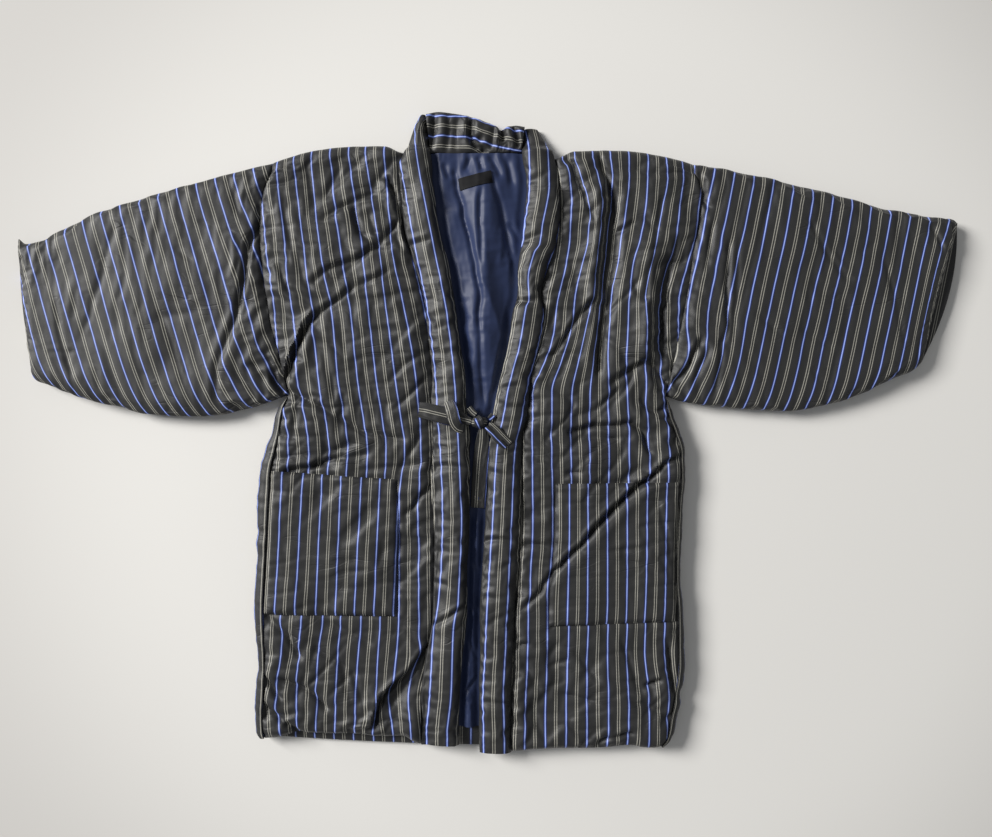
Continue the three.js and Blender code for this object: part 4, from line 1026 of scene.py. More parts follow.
# Columns: step from the armhole to the cuff, top x and y, lower x and y, bow of the row, how much the
# front layer stops short of the back one
sleeve_right_rows = [
    (0, -299, 376, -276, 52, 0, 0), (1, -331, 368, -307, 41, -15, 0), (2, -380, 355.5, -355, 28, -8, 0),
    (3, -431, 342, -414, 21.6, -4, 0), (4, -483, 327.5, -468, 25, -3, 0),
    (5, -538, 309.5, -518, 36, -3, 0), (6, -590, 284, -566, 48, -4, 0), (7, -622, 268, -604, 62, -4, 0),
    (8, -645, 264, -626, 71, -5, 3), (9, -655, 271, -634, 76, -6, 5),
]
sleeve_left_rows = [
    (0, 288, 374, 249, 50, 0, 0), (1, 317, 371, 276, 41, 13, 0), (2, 362, 361.5, 316, 36, 9, 0),
    (3, 404, 352.5, 364, 31.5, 5, 0), (4, 453.5, 340, 414, 29.5, 4, 0), (5, 507, 327, 466, 36, 6, 0),
    (6, 560, 311.5, 513, 51, 9, 0), (7, 606, 304, 557, 69, 13, 2), (8, 645, 298, 590, 85, 15, 13),
    (9, 658, 292, 608, 98, 15, 19),
]
# Columns: from and to in the picture, reach left and right of the way, depth, cloth swallowed
sleeve_right_creases = [
    (277, 168, 264, 223, 5, 7, 3.0, 6), (264, 223, 252, 245, 5, 8, 4.0, 10),
    (252, 245, 248, 281, 6, 9, 5.0, 14), (248, 281, 242, 308, 5, 8, 4.0, 12),
    (242, 308, 232, 339, 4, 6, 2.6, 8), (232, 339, 221, 366, 4, 6, 2.2, 6),
    (221, 366, 219, 398, 4, 6, 2.0, 5), (237, 340, 226, 370, 8, 5, -1.6, 0),
    (268, 319, 257, 346, 6, 5, -1.8, 2), (257, 346, 249, 364, 6, 5, -1.6, 2),
    (262, 232, 266, 290, 9, 6, 2.0, 4), (268, 352, 278, 378, 5, 6, 2.6, 3),
    (256, 362, 272, 385, 5, 6, 2.2, 3), (274, 377, 286, 392, 4, 4, 9.0, 3),
    (240, 372, 262, 396, 6, 7, 1.8, 2), (232, 180, 240, 215, 7, 8, 1.4, 2),
    (180, 250, 196, 262, 6, 6, 1.0, 1), (120, 230, 90, 330, 22, 22, 1.3, 0),
    (160, 300, 190, 390, 20, 20, 1.2, 0), (60, 300, 75, 370, 18, 18, 1.2, 0),
    (22, 300, 30, 340, 6, 8, 1.6, 2), (26, 258, 24, 285, 5, 6, 2.0, 2), (24, 240, 34, 246, 5, 5, 2.4, 2),
]
sleeve_left_creases = [
    (726, 245, 722, 292, 5, 7, 2.8, 5), (722, 292, 725, 324, 5, 7, 2.6, 5),
    (725, 324, 716, 350, 6, 7, 2.0, 3), (699, 339, 684, 368, 7, 5, 4.6, 5),
    (684, 368, 671, 384, 6, 5, 4.8, 4), (711, 226, 703, 272, 6, 7, 2.2, 4),
    (697, 174, 703, 202, 5, 5, 3.0, 4), (703, 202, 709, 210, 4, 5, 2.4, 2),
    (705, 350, 690, 385, 6, 6, 2.2, 3), (720, 350, 712, 392, 7, 7, 1.8, 2),
    (736, 240, 730, 330, 9, 9, 1.6, 3), (805, 221, 823, 256, 18, 18, 2.2, 2),
    (823, 256, 846, 282, 18, 18, 2.0, 2), (753, 316, 779, 333, 14, 14, 1.6, 1),
    (800, 330, 830, 350, 14, 14, 1.2, 0), (926, 229, 942, 250, 5, 6, 2.4, 2),
    (880, 260, 900, 340, 22, 22, 1.2, 0),
]
# The stripes of a sleeve: x and y of one blue line, its run across for each unit down, spacing level with x
sleeve_right_line = (-538.0, 309.0, 0.287, 28.6)
sleeve_left_line = (426.6, 345.8, -0.206, 28.4)
# Where the stripes of a sleeve bow to one side: middle in the picture, reach across and down, millimetres
sleeve_right_bends = [(262, 330, 26, 34, -6.0), (240, 260, 26, 40, 4.0)]
sleeve_left_bends = [(684, 355, 40, 30, 13.0), (820, 250, 60, 50, 3.0)]


def tube_piece(name, outer, inner, cloth, cloth_inner):
    """A hollow piece: an outer and an inner set of rings, joined at both ends."""
    rings = np.concatenate([outer, inner[::-1]])
    coords = np.concatenate([cloth, cloth_inner[::-1]])
    count, sides = rings.shape[:2]
    number = np.arange(count * sides).reshape(count, sides)
    after = np.roll(number, -1, 1)
    quads = np.stack([number, after, np.roll(after, -1, 0), np.roll(number, -1, 0)], -1).reshape(-1, 4)
    points, coords = rings.reshape(-1, 3), coords.reshape(-1, 2)
    return make_piece(name, points, quads, coords, striped_cloth, 60)


def sleeve_piece(name, front_rows, rows, creases, line, bends, seed):
    """A flat wadded tube from the armhole to the open cuff, its upper face settled into creases."""
    side = math.copysign(1, rows[0][1])
    arm = [(row[2], row[1]) for row in front_rows[underarm_row:]]
    top_y = front_rows[-1][2] + shoulder_roll
    arm.append((top_y, front_rows[-1][1]))
    step = np.linspace(0, cuff_step, sleeve_steps)[:, None]
    top_edge = np.linspace(0, 0.05, edge_columns)[:-1]
    low_edge = np.linspace(0.95, 1, edge_columns)[1:]
    half = np.concatenate([top_edge, np.linspace(0.05, 0.95, face_columns), low_edge])
    around = np.concatenate([half, half[-2:0:-1]])[None, :]
    up = np.concatenate([np.ones(len(half)), -np.ones(len(half) - 2)])[None, :]
    top_x, top_y_row = read(rows, step, 1), read(rows, step, 2)
    low_x, low_y = read(rows, step, 3), read(rows, step, 4)
    bow, short = read(rows, step, 5), read(rows, step, 6)

    def lay(share):
        """x and y at a share of the way round, drawn to the front's own armhole near it."""
        x = top_x + (low_x - top_x) * share + bow * 4 * share * (1 - share)
        y = top_y_row + (low_y - top_y_row) * share
        arm_y = top_y + (arm[0][0] - top_y) * share
        arm_x = read(arm, arm_y, 1) + side * 0.5
        near = np.exp(-step * 1.6) * (1 - ease(step / 3))
        straight_x = top_x[0] + (low_x[0] - top_x[0]) * share
        straight_y = top_y_row[0] + (low_y[0] - top_y_row[0]) * share
        return x + (arm_x - straight_x) * near, y + (arm_y - straight_y) * near

    x, y = lay(around)
    full = np.sqrt(np.maximum(0, 1 - np.abs(2 * around - 1) ** 12))
    sink, shift, cut = crease(creases, x, y, lean=math.atan(line[2]))
    from_arm = np.hypot(x - x[0:1], y - y[0:1])
    from_cuff = np.hypot(x - x[-1:], y - y[-1:])
    seam_wave = gathers(y, 17, seed)
    rise = sleeve_rise - 5.6 * fall(from_arm, 7 + 2.5 * seam_wave)
    rise = rise + 0.9 * seam_wave * hill(from_arm, 10, 10)
    rise = rise - 8.5 * fall(from_cuff, 6) + 0.8 * ripple(y, 17, seed + 2) * hill(from_cuff, 10, 9)
    wad = waves(x, y, sleeve_wadding, seed)
    wad = wad - 1.3 * long_folds(x, y, 100, 36, seed + 12, 1.3 * side)
    rise = rise + (wad + 0.75 * sink) * full
    upper_z = fold_centre + np.maximum(rise, 3.5) * full
    lower_z = fold_centre * (1 - full) + 2.2 * fall(from_cuff, 4)
    z = np.where(up > 0, upper_z, lower_z)
    back_off = np.where(up > 0, side * short * 4 * around * (1 - around), 0)
    top_bulge = 1.5 * ripple(x, 20, seed + 8) * np.exp(-around * 60)
    low_bulge = 1.5 * ripple(x, 24, seed + 9) * np.exp(-(1 - around) * 60)
    edge_wave = 1 + 0.10 * ripple(x, 17, seed + 7)
    bulge = (top_bulge - low_bulge) * ease(step / 0.6) * edge_wave
    outer = np.stack([x - back_off, y + bulge, z], -1)

    face = len(half)
    face_x, face_y = outer[:, :face, 0], outer[:, :face, 1]
    uneven = 1 + 0.7 * rough(face_x, face_y, 60, 60, seed + 20)
    near_edge = np.exp(-(1 - half)[None, :] * 14) + 0.7 * np.exp(-half[None, :] * 14)
    near_arm = fall(from_arm[:, :face], 18)
    near_cuff = fall(from_cuff[:, :face], 14)
    pit = np.exp(-(((face_x - rows[0][3]) / 50) ** 2) - ((face_y - rows[0][4]) / 60) ** 2)
    spare_across = (0.007 + 0.035 * near_edge + 0.02 * near_arm + 0.03 * pit) * uneven
    spare_along = (0.009 + 0.045 * near_arm + 0.04 * near_cuff + 0.03 * pit) * uneven
    low_face = fold_centre + 3 * full[:, :face] + 0 * face_x
    outer[:, :face] = settle(outer[:, :face], spare_across, spare_along, low_face)
    cut_z = outer[:, :face, 2] - 0.75 * (cut * full)[:, :face]
    outer[:, :face, 2] = np.maximum(cut_z, np.minimum(outer[:, :face, 2], low_face))

    take = [int(round(value * (sleeve_steps - 1) / cuff_step)) for value in range(cuff_step + 1)]
    inner_x, inner_y = lay(around + 0.034 * (1 - 2 * around) ** 9)
    inner_x = inner_x - back_off - np.where(step < 0.01, side * 0.2, 0)
    inner_z = fold_centre + up * sleeve_inner * full + 0 * x
    inner = np.stack([inner_x, inner_y, inner_z], -1)[take]

    sweep = 16 * (np.exp(-(1 - around) * 14) * (1 if side < 0 else -0.4))
    for middle_x, middle_y, wide, tall, aside in bends:
        off_x = (x / picture_step + picture_middle[0] - middle_x) / wide
        off_y = (picture_middle[1] - y / picture_step - middle_y) / tall
        sweep = sweep + aside * np.exp(-(off_x ** 2) - off_y ** 2)
    line_x, line_y, run, spacing = line
    across = (x - sweep - (line_x + run * (line_y - y))) / spacing * stripe_repeat + shift
    along = np.where(up > 0, -y, y)
    cloth = np.stack([across + 0 * along, along + 0 * across], -1)
    return tube_piece(name, outer, inner, cloth, cloth[take])


sleeve_right_small = small_creases(21, 18, (40, 190), (270, 400), 10, 1.0, 75, 45)
sleeve_left_small = small_creases(22, 18, (700, 180), (940, 400), 10, 1.0, 105, 45)
sleeve_right = sleeve_piece(
    "sleeve_right_tube", front_right_rows, sleeve_right_rows, sleeve_right_creases + sleeve_right_small,
    sleeve_right_line, sleeve_right_bends, 500)
sleeve_left = sleeve_piece(
    "sleeve_left_tube", front_left_rows, sleeve_left_rows, sleeve_left_creases + sleeve_left_small,
    sleeve_left_line, sleeve_left_bends, 520)
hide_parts("sleeve_right")
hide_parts("sleeve_left")

# Lining.
# A plain navy cloth, sewn inside the back along its middle seam, with the fullness of the wadding behind it.
# It shows between the two collar bands.
lining_bottom = back_top + seam_gap
lining_top = lining_bottom + 1.2
lining_steps, lining_columns = 401, 91
lining_low_y, lining_high_y = -411, 389.4
navy_deep = (0.015, 0.024, 0.070, 1)
navy_lit = (0.023, 0.037, 0.098, 1)
lining_creases = [
    (455, 172, 458, 196, 4, 7, 2.0, 0), (458, 196, 467, 223, 4, 7, 2.4, 0),
    (467, 223, 473, 253, 4, 8, 2.6, 0), (473, 253, 479, 281, 4, 7, 2.6, 0),
    (479, 281, 480, 330, 4, 6, 2.2, 0), (480, 330, 484, 400, 4, 6, 1.8, 0),
    (481, 192, 481, 262, 5, 5, 1.8, 0), (493, 181, 502, 214, 4, 7, 1.8, 0),
    (502, 214, 509, 248, 4, 7, 2.0, 0), (509, 248, 517, 282, 4, 7, 2.0, 0),
    (509, 225, 521, 243, 3, 5, 1.6, 0), (484, 284, 490, 303, 7, 5, -1.6, 0),
    (490, 303, 499, 331, 7, 5, -1.8, 0), (448, 214, 451, 253, 9, 9, -1.6, 0),
    (451, 253, 460, 312, 9, 9, -1.6, 0), (445, 165, 450, 180, 3, 4, 1.4, 0),
    (478, 158, 482, 172, 3, 3, 1.6, 0), (490, 158, 500, 178, 3, 5, 1.6, 0),
    (470, 160, 466, 172, 3, 4, 1.2, 0), (505, 160, 512, 185, 4, 5, 1.4, 0),
    (462, 300, 470, 360, 5, 7, 1.4, 0), (472, 560, 478, 572, 3, 4, 1.2, 0),
    (470, 600, 480, 612, 3, 4, 1.4, 0), (468, 640, 479, 655, 3, 4, 1.4, 0),
    (463, 690, 478, 676, 3, 5, 1.6, 0), (474, 520, 476, 600, 4, 5, 1.2, 0),
    (470, 610, 472, 700, 4, 6, 1.0, 0),
]
lining_y = np.linspace(lining_low_y, lining_high_y, lining_steps)[:, None]
lining_share = np.linspace(0, 1, lining_columns)[None, :]
lining_from = (read(collar_right_rows, lining_y, 1) + read(collar_right_rows, lining_y, 2)) / 2
lining_to = (read(collar_left_rows, lining_y, 1) + read(collar_left_rows, lining_y, 2)) / 2
lining_x = lining_from + (lining_to - lining_from) * lining_share
lining_y2 = lining_y + 0 * lining_x
free_right = lining_x - read(collar_right_rows, lining_y, 2)
free_left = read(collar_left_rows, lining_y, 2) - lining_x
open_here = ease((np.minimum(free_right, free_left) - 1) / 12)
dent, _, lining_cut = crease(lining_creases, lining_x, lining_y2)
dent = dent + 0.6 * rough(lining_x, lining_y2, 18, 70, 61) + 0.08 * rough(lining_x, lining_y2, 5, 14, 62)
dent = dent + 0.8 * rough(lining_x, lining_y2, 6, 18, 63) * fall(386 - lining_y, 24)
middle_seam_x = -7 + 0.03 * (lining_y - 200)
dent = dent + 0.7 * ripple(lining_y2, 6, 64) * fall(np.abs(lining_x - middle_seam_x), 7)
lining_hump = 12.0 * hill(lining_x, -6, 26)
lining_hump = lining_hump * ease((lining_y2 - 40) / 90) * ease((386 - lining_y2) / 60)
lining_low = 4.5 * (1 - ease((lining_y2 + 128) / 18))
lining_z = lining_top + np.maximum(3.0 + 1.5 * dent + lining_hump + lining_low, 0.0) * open_here
lining_uneven = (1 + 0.8 * rough(lining_x, lining_y2, 30, 60, 65)) * open_here
lining_upper = settle(
    np.stack([lining_x, lining_y2, lining_z], -1), 0.014 * lining_uneven, 0.006 * lining_uneven,
    lining_top, 0.004, ((4, 120), (2, 60), (1, 6)))
lining_upper[..., 2] = np.maximum(lining_upper[..., 2] - 0.9 * lining_cut * open_here, lining_top)
lining_lower = np.stack([lining_x, lining_y2, lining_bottom + 0 * lining_x], -1)
lining_cloth = np.stack([lining_x, lining_y2], -1)

lining_finish = bpy.data.materials.new("navy_lining")
lining_finish.use_nodes = True
tree = lining_finish.node_tree
lining_shader = tree.nodes["Principled BSDF"]
lining_place = node(tree, "ShaderNodeUVMap", -1000, 0, uv_map="Cloth")
lining_thread = node(tree, "ShaderNodeVectorMath", -800, 0, operation="MULTIPLY")
lining_thread.inputs[1].default_value = (2200.0, 700.0, 1.0)
tree.links.new(lining_place.outputs[0], lining_thread.inputs[0])
lining_grain = node(tree, "ShaderNodeTexNoise", -600, 0)
lining_grain.inputs["Scale"].default_value = 1.0
tree.links.new(lining_thread.outputs[0], lining_grain.inputs["Vector"])
lining_tone = mix_node(tree, lining_grain.outputs["Fac"], navy_deep, navy_lit, -300, 100)
tree.links.new(lining_tone, lining_shader.inputs["Base Color"])
lining_bump = node(tree, "ShaderNodeBump", -300, -200)
lining_bump.inputs["Strength"].default_value = 0.25
lining_bump.inputs["Distance"].default_value = 0.0002
tree.links.new(lining_grain.outputs["Fac"], lining_bump.inputs["Height"])
tree.links.new(lining_bump.outputs[0], lining_shader.inputs["Normal"])
lining_shader.inputs["Roughness"].default_value = 0.5
lining_shader.inputs["Specular IOR Level"].default_value = 0.34
lining_shader.inputs["Sheen Weight"].default_value = 0.1
lining_shader.inputs["Sheen Tint"].default_value = (0.55, 0.62, 0.9, 1)
lining = sheet_piece("back_lining", lining_upper, lining_lower, lining_cloth, lining_finish)
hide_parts("lining")

# Collar band.
# One long strip folded over thick wadding, sewn to the fronts and round the back of the neck.
# It is modelled as two front stretches and the neck stretch, which shows its inner face.
collar_bottom = lining_top + 0.5
collar_steps = 401
collar_drop_y = 389.5
neck_bottom = 0.6
# Columns: share from the seam to the free edge, top and lift above the underside
collar_section = [
    (0, 7.5, 0), (0.03, 10.0, 0), (0.07, 11.8, 0), (0.14, 13.9, 0), (0.22, 15.6, 0), (0.34, 17.2, 0),
    (0.48, 18.2, 0), (0.62, 18.2, 0), (0.76, 17.0, 0), (0.86, 15.0, 0.2), (0.93, 12.6, 0.9),
    (0.97, 10.6, 1.9), (0.99, 8.9, 3.2), (1, 7.2, 5),
]
# Columns: from and to in the picture, reach left and right of the way, depth, cloth swallowed
collar_creases = [
    (483, 540, 497, 538, 3.5, 3.5, 3.2, 3), (497, 538, 512, 539, 3.5, 3.5, 3.2, 3),
    (467, 604, 450, 613, 3, 4, 3.6, 4), (450, 613, 434, 623, 3, 4, 3.6, 4),
    (484, 697, 513, 700, 3, 4, 2.4, 2), (434, 465, 446, 463, 3, 4, 1.8, 2),
    (446, 463, 470, 466, 3, 4, 2.0, 2), (422, 579, 448, 582, 3, 4, 2.0, 2),
    (408, 246, 430, 241, 4, 4, 2.6, 3), (515, 302, 530, 304, 3.5, 3.5, 3.4, 4),
    (530, 304, 541, 300, 4, 4, 2.0, 3), (521, 245, 540, 236, 5, 6, 1.8, 3),
    (527, 184, 545, 176, 5, 6, 1.6, 2), (503, 388, 520, 386, 3, 4, 2.0, 2),
    (500, 405, 530, 407, 3, 4, 1.6, 1), (436, 417, 468, 405, 5, 5, 1.6, 1),
    (486, 592, 497, 596, 3, 4, 1.6, 1), (512, 560, 500, 566, 4, 4, 1.4, 1),
    (509, 640, 496, 636, 3, 4, 1.8, 1), (424, 700, 436, 706, 3, 4, 1.6, 1),
    (430, 330, 458, 322, 5, 6, 1.4, 1), (445, 356, 462, 350, 4, 5, 1.2, 1),
    (520, 345, 538, 352, 4, 5, 1.6, 1), (505, 452, 521, 446, 3, 4, 1.4, 1),
    (490, 470, 510, 474, 3, 4, 1.4, 1), (523, 540, 523, 560, 4, 3, 1.6, 0),
    (488, 620, 505, 612, 3, 4, 1.2, 1),
]
# Columns: y, middle between the two blue lines of the band, their distance
collar_right_lines = [
    (-411, -69.5, 29), (-362, -64.4, 29.3), (-278, -60.6, 27.9), (-236, -54.3, 27.1), (-180, -50.3, 26.1),
    (-118, -48.6, 26.4), (-46, -51.5, 25.1), (10, -54.7, 26.3), (73, -58.8, 26.3), (161, -68.4, 26.4),
    (258, -87, 26.1), (384, -109, 23.7), (422, -113, 22), (445, -104, 22),
]
collar_left_lines = [
    (-420, 9.7, 28.9), (-369, 8.4, 28.2), (-302, 11.4, 27.7), (-233, 14.8, 27.7), (-130, 20.4, 26),
    (-29, 26.2, 25.1), (32, 37.3, 25.6), (61, 42.6, 25.7), (122, 58.4, 26.5), (173, 66.3, 25.6),
    (183, 68.1, 21), (212, 69.2, 24.4), (248, 78.3, 25.8), (260, 84.6, 24), (284, 88, 24.7),
    (343, 98.7, 26.8), (399, 96, 25.6), (430, 90, 25),
]


def collar_piece(name, rows, lines, tilt, end_in, seed):
    """A front stretch of the band, rolled at its free edge and lying lower beyond the neck seam."""
    low, high = rows[0][0], rows[-1][0]
    y = np.linspace(low, high, collar_steps)[:, None]
    seam_part, edge_part = np.linspace(0, 0.1, 7)[:-1], np.linspace(0.88, 1, 9)[1:]
    share = np.concatenate([seam_part, np.linspace(0.1, 0.88, 23), edge_part])[None, :]
    seam, edge, puff = read(rows, y, 1), read(rows, y, 2), read(rows, y, 3)
    side = math.copysign(1, edge[0, 0] - seam[0, 0])
    width = np.abs(edge - seam)
    edge_wave = 1.3 * ripple(y, 24, seed) + 0.5 * ripple(y, 9, seed + 1)
    edge_wave = edge_wave * (1 - ease((y - 380) / 10))
    x = seam + (edge + side * -0.4 - side * np.maximum(edge_wave, -0.4) - seam) * share
    y2 = y + 0 * x + end_in * (1 - ease((y - low) / 40))
    under = collar_bottom + (neck_bottom - collar_bottom) * ease((y - collar_drop_y) / 12)
    top = read(collar_section, share, 1)
    lift = read(collar_section, share, 2)
    dent, shift, cut = crease(collar_creases, x, y2)
    seam_wave = gathers(y, 16, seed + 2)
    from_seam, from_edge = share * width, (1 - share) * width
    z = top * puff + 1.1 * seam_wave * hill(from_seam, 8, 8) * ease(share / 0.05)
    z = z + 0.9 * ripple(y, 20, seed + 4) * hill(from_edge, 8, 7)
    bumps = 1.2 * rough(x, y2, 26, 30, seed + 5) + 0.4 * rough(x, y2, 10, 14, seed + 6)
    z = z + bumps * ease(share * (1 - share) * 12)
    z = z + tilt * (share - 0.5) * ease(share / 0.15) * ease((1 - share) / 0.15) * (1 - ease((y - 330) / 50))
    z = z + dent * ease(share * (1 - share) * 30)
    z = np.maximum(z, lift + 2.5)
    upper = np.stack([x, y2, under + z], -1)
    uneven = 1 + 0.8 * rough(x, y2, 60, 45, seed + 20)
    spare_along = (0.012 + 0.024 * fall(from_seam, 10) + 0.012 * fall(from_edge, 10)) * uneven
    upper = settle(upper, 0.01 * uneven, spare_along, under + lift + 2.2, 0.006)
    upper[..., 2] = np.maximum(upper[..., 2] - 0.4 * cut * ease(share * (1 - share) * 30), under + lift + 2)
    lower = np.stack([x, y2, under + lift + 0 * x], -1)
    across = (x - read(lines, y2, 1)) / read(lines, y2, 2) * stripe_repeat + stripe_repeat / 2 + shift
    cloth = np.stack([across, y2], -1)
    return sheet_piece(name, upper, lower, cloth, striped_cloth, sharp=60)


collar_right = collar_piece("collar_right_band", collar_right_rows, collar_right_lines, 9.0, 5.0, 600)
collar_left = collar_piece("collar_left_band", collar_left_rows, collar_left_lines, -5.0, 3.5, 620)
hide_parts("collar_right")
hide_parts("collar_left")

# Columns: place along the neck, point on the seam with the back, point on the top edge
neck_rows = [
    (0, -79.2, 391, -85.6, 446), (1, -66, 390, -68, 448.5), (2, -44, 390, -46, 446),
    (3, -20, 390, -20, 441), (4, 0, 390, 0, 434), (5, 14, 390, 14, 427), (6, 20, 390, 20, 423),
    (7, 27, 390, 28, 427), (8, 38, 390, 41, 429.5), (9, 48.3, 391, 53, 428),
]
# Columns: share from the seam to the top edge, top and lift
neck_section = [
    (0, 12.8, 0), (0.04, 14.2, 0), (0.1, 15.4, 0), (0.3, 17, 0), (0.6, 18.6, 0), (0.8, 18.8, 0),
    (0.9, 17.4, 0.4), (0.96, 14.6, 1.5), (0.99, 12, 3.4), (1, 9.5, 5),
]
# Columns: from and to in the picture, reach left and right of the way, depth, cloth swallowed
neck_creases = [
    (471, 114, 471, 138, 3, 4, 5.6, 4), (471, 138, 478, 150, 4, 4, 7.0, 4),
    (478, 150, 488, 154, 4, 4, 4.0, 2), (479, 139, 485, 152, 5, 4, 4.0, 0),
    (502, 124, 502, 142, 3, 4, 6.0, 3), (434, 116, 433, 150, 3, 4, 4.4, 2),
    (457, 120, 456, 150, 8, 8, 1.8, 1), (514, 128, 518, 148, 3, 4, 5.0, 2),
    (494, 130, 490, 150, 6, 6, 2.4, 1), (447, 118, 449, 150, 5, 5, 1.8, 1),
    (526, 132, 524, 150, 3, 4, 4.0, 0),
]
# Columns: x, y of the lower blue line on the neck stretch
neck_line = [(-86, 414), (-25, 412), (-5, 403), (45, 393), (52, 392)]
neck_step = np.linspace(0, len(neck_rows) - 1, 89)[None, :]
neck_share = np.linspace(0, 1, 41)[:, None]
seam_x, seam_y = read(neck_rows, neck_step, 1), read(neck_rows, neck_step, 2)
edge_x, edge_y = read(neck_rows, neck_step, 3), read(neck_rows, neck_step, 4)
neck_x = seam_x + (edge_x - seam_x) * neck_share
neck_y = seam_y + (edge_y - seam_y) * neck_share
dent, shift, neck_cut = crease(neck_creases, neck_x, neck_y, lean=math.pi / 2)
neck_z = read(neck_section, neck_share, 1) + 0.9 * rough(neck_x, neck_y, 14, 22, 71)
neck_z = neck_z + 0.35 * rough(neck_x, neck_y, 6, 9, 72)
neck_z = neck_z + dent * ease(neck_share * (1 - neck_share) * 20)
neck_z = neck_z + 1.0 * ripple(neck_x, 7, 73) * hill(neck_share * 45, 5, 6)
neck_lift = read(neck_section, neck_share, 2) + 0 * neck_x
neck_z = np.maximum(neck_z, neck_lift + 2.5)
neck_uneven = 1 + 0.8 * rough(neck_x, neck_y, 30, 30, 75)
neck_upper = settle(
    np.stack([neck_x, neck_y, neck_z], -1), 0.03 * neck_uneven, 0.02 * neck_uneven, neck_lift + 2.2)
neck_cut = neck_cut * ease(neck_share * (1 - neck_share) * 20)
neck_upper[..., 2] = np.maximum(neck_upper[..., 2] - 0.5 * neck_cut, neck_lift + 2)
neck_lower = np.stack([neck_x, neck_y, neck_lift], -1)
neck_across = neck_y - read(neck_line, neck_x, 1) - shift + 1.2 * rough(neck_x, neck_y, 26, 40, 74)
neck_cloth = np.stack([neck_across, neck_x], -1)
collar_neck = sheet_piece(
    "collar_neck_stretch", neck_upper, neck_lower, neck_cloth, striped_cloth, sharp=60)
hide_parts("collar_neck")

# Ties.
# Two narrow cloth strips sewn to the free edges of the collar bands and tied in a half bow.
# The loop lies to the wearer's right, one end short and one end hanging.
strip_sides = 36
# Columns: step, middle line x, y, z, width, thickness, turn of the flat side in degrees
tie_loop_rows = [
    (0, -94, 31, 30.2, 21, 1.8, 0), (1, -86, 30, 31.2, 22, 2.0, 0), (2, -76, 27.6, 32.2, 22.5, 2.2, -3),
    (3, -65, 25, 32.6, 23.5, 2.4, -4), (4, -54, 22.3, 32.2, 25, 2.4, 0), (5, -45, 20.4, 31.2, 25, 2.4, 8),
    (6, -37, 18.8, 30.2, 21, 2.4, 12), (7, -30, 17, 29.6, 15, 3, 10), (8, -26, 16, 29.5, 12, 3.4, 6),
    (9, -21.9, 15, 29.5, 10, 4, 0),
]
tie_fold_rows = [
    (0, -53, 43, 31.6, 13, 1.8, 14), (1, -50.5, 37, 34.6, 16, 2, 12), (2, -48, 29, 36.2, 17.5, 2.2, 8),
    (3, -46, 20, 36.4, 17.5, 2.2, 8), (4, -43, 12, 35.2, 16, 2.2, 8), (5, -38, 6.5, 33.2, 15, 2, 10),
    (6, -32.5, 5, 31.2, 13, 1.8, 12),
]
tie_end_rows = [
    (0, 1, 10, 31.0, 11, 3.6, -8), (1, 5.5, 6, 32.6, 15, 3.8, -10), (2, 11, 1, 33.4, 18, 3.8, -12),
    (3, 16, -4.5, 33.8, 19, 3.6, -14), (4, 21, -9.5, 33.8, 19, 3.2, -14),
    (5, 25.5, -14, 33.4, 18, 2.8, -12), (6, 29.5, -18, 33, 17, 2.2, -8),
]
tie_tail_rows = [
    (0, -4.6, 5, 28, 12, 4.6, 0), (1, -4.8, -3, 26, 17, 4.0, 0), (2, -5.2, -12, 23, 20.5, 3.4, 2),
    (3, -6.4, -22, 20.4, 21.5, 3, 3), (4, -8, -35, 18.2, 21.5, 2.8, 3),
    (5, -9.4, -52, 16.8, 21.5, 2.4, 2), (6, -10.6, -70, 15.8, 21.3, 2.2, 0),
    (7, -11.6, -88, 15.2, 21.2, 2.2, 0), (8, -12.4, -105.5, 14.8, 21, 2.2, 0),
]
tie_wrap_rows = [
    (0, -15, 21.6, 27.4, 8, 2, 0), (1, -13.6, 19.6, 32.2, 10.5, 2.4, 0),
    (2, -11.4, 15, 35.6, 12.5, 2.8, 0), (3, -9.2, 10, 34.6, 12, 2.8, 0), (4, -7.6, 6.6, 31, 10, 2.4, 0),
    (5, -7, 4.8, 26.6, 8, 2, 0),
]
tie_root_right_rows = [
    (0, -25.5, 34, 25.2, 10, 2.2, 0), (1, -20.5, 28, 25.6, 10, 2.2, 0), (2, -15.5, 24.2, 26, 8, 2.2, 0),
]
tie_root_left_rows = [
    (0, 9, 24, 26.2, 9, 2.2, 0), (1, 5.5, 20.5, 26, 8, 2.2, 0), (2, 2.6, 18.5, 26, 6, 2.2, 0),
]
knot_rows = [
    (0, -21, 14, 28, 8, 7, 0), (1, -19.5, 14, 28, 11.5, 9.5, 0), (2, -17, 14, 28, 14, 12, 0),
    (3, -13, 14, 28.2, 15.4, 13.6, 0), (4, -9.5, 14, 28.3, 15.4, 14, 0), (5, -5.5, 14, 28.2, 14.4, 13, 0),
    (6, -2.5, 14, 28, 12.4, 11, 0), (7, 0.5, 13.5, 28, 7, 6, 0),
]


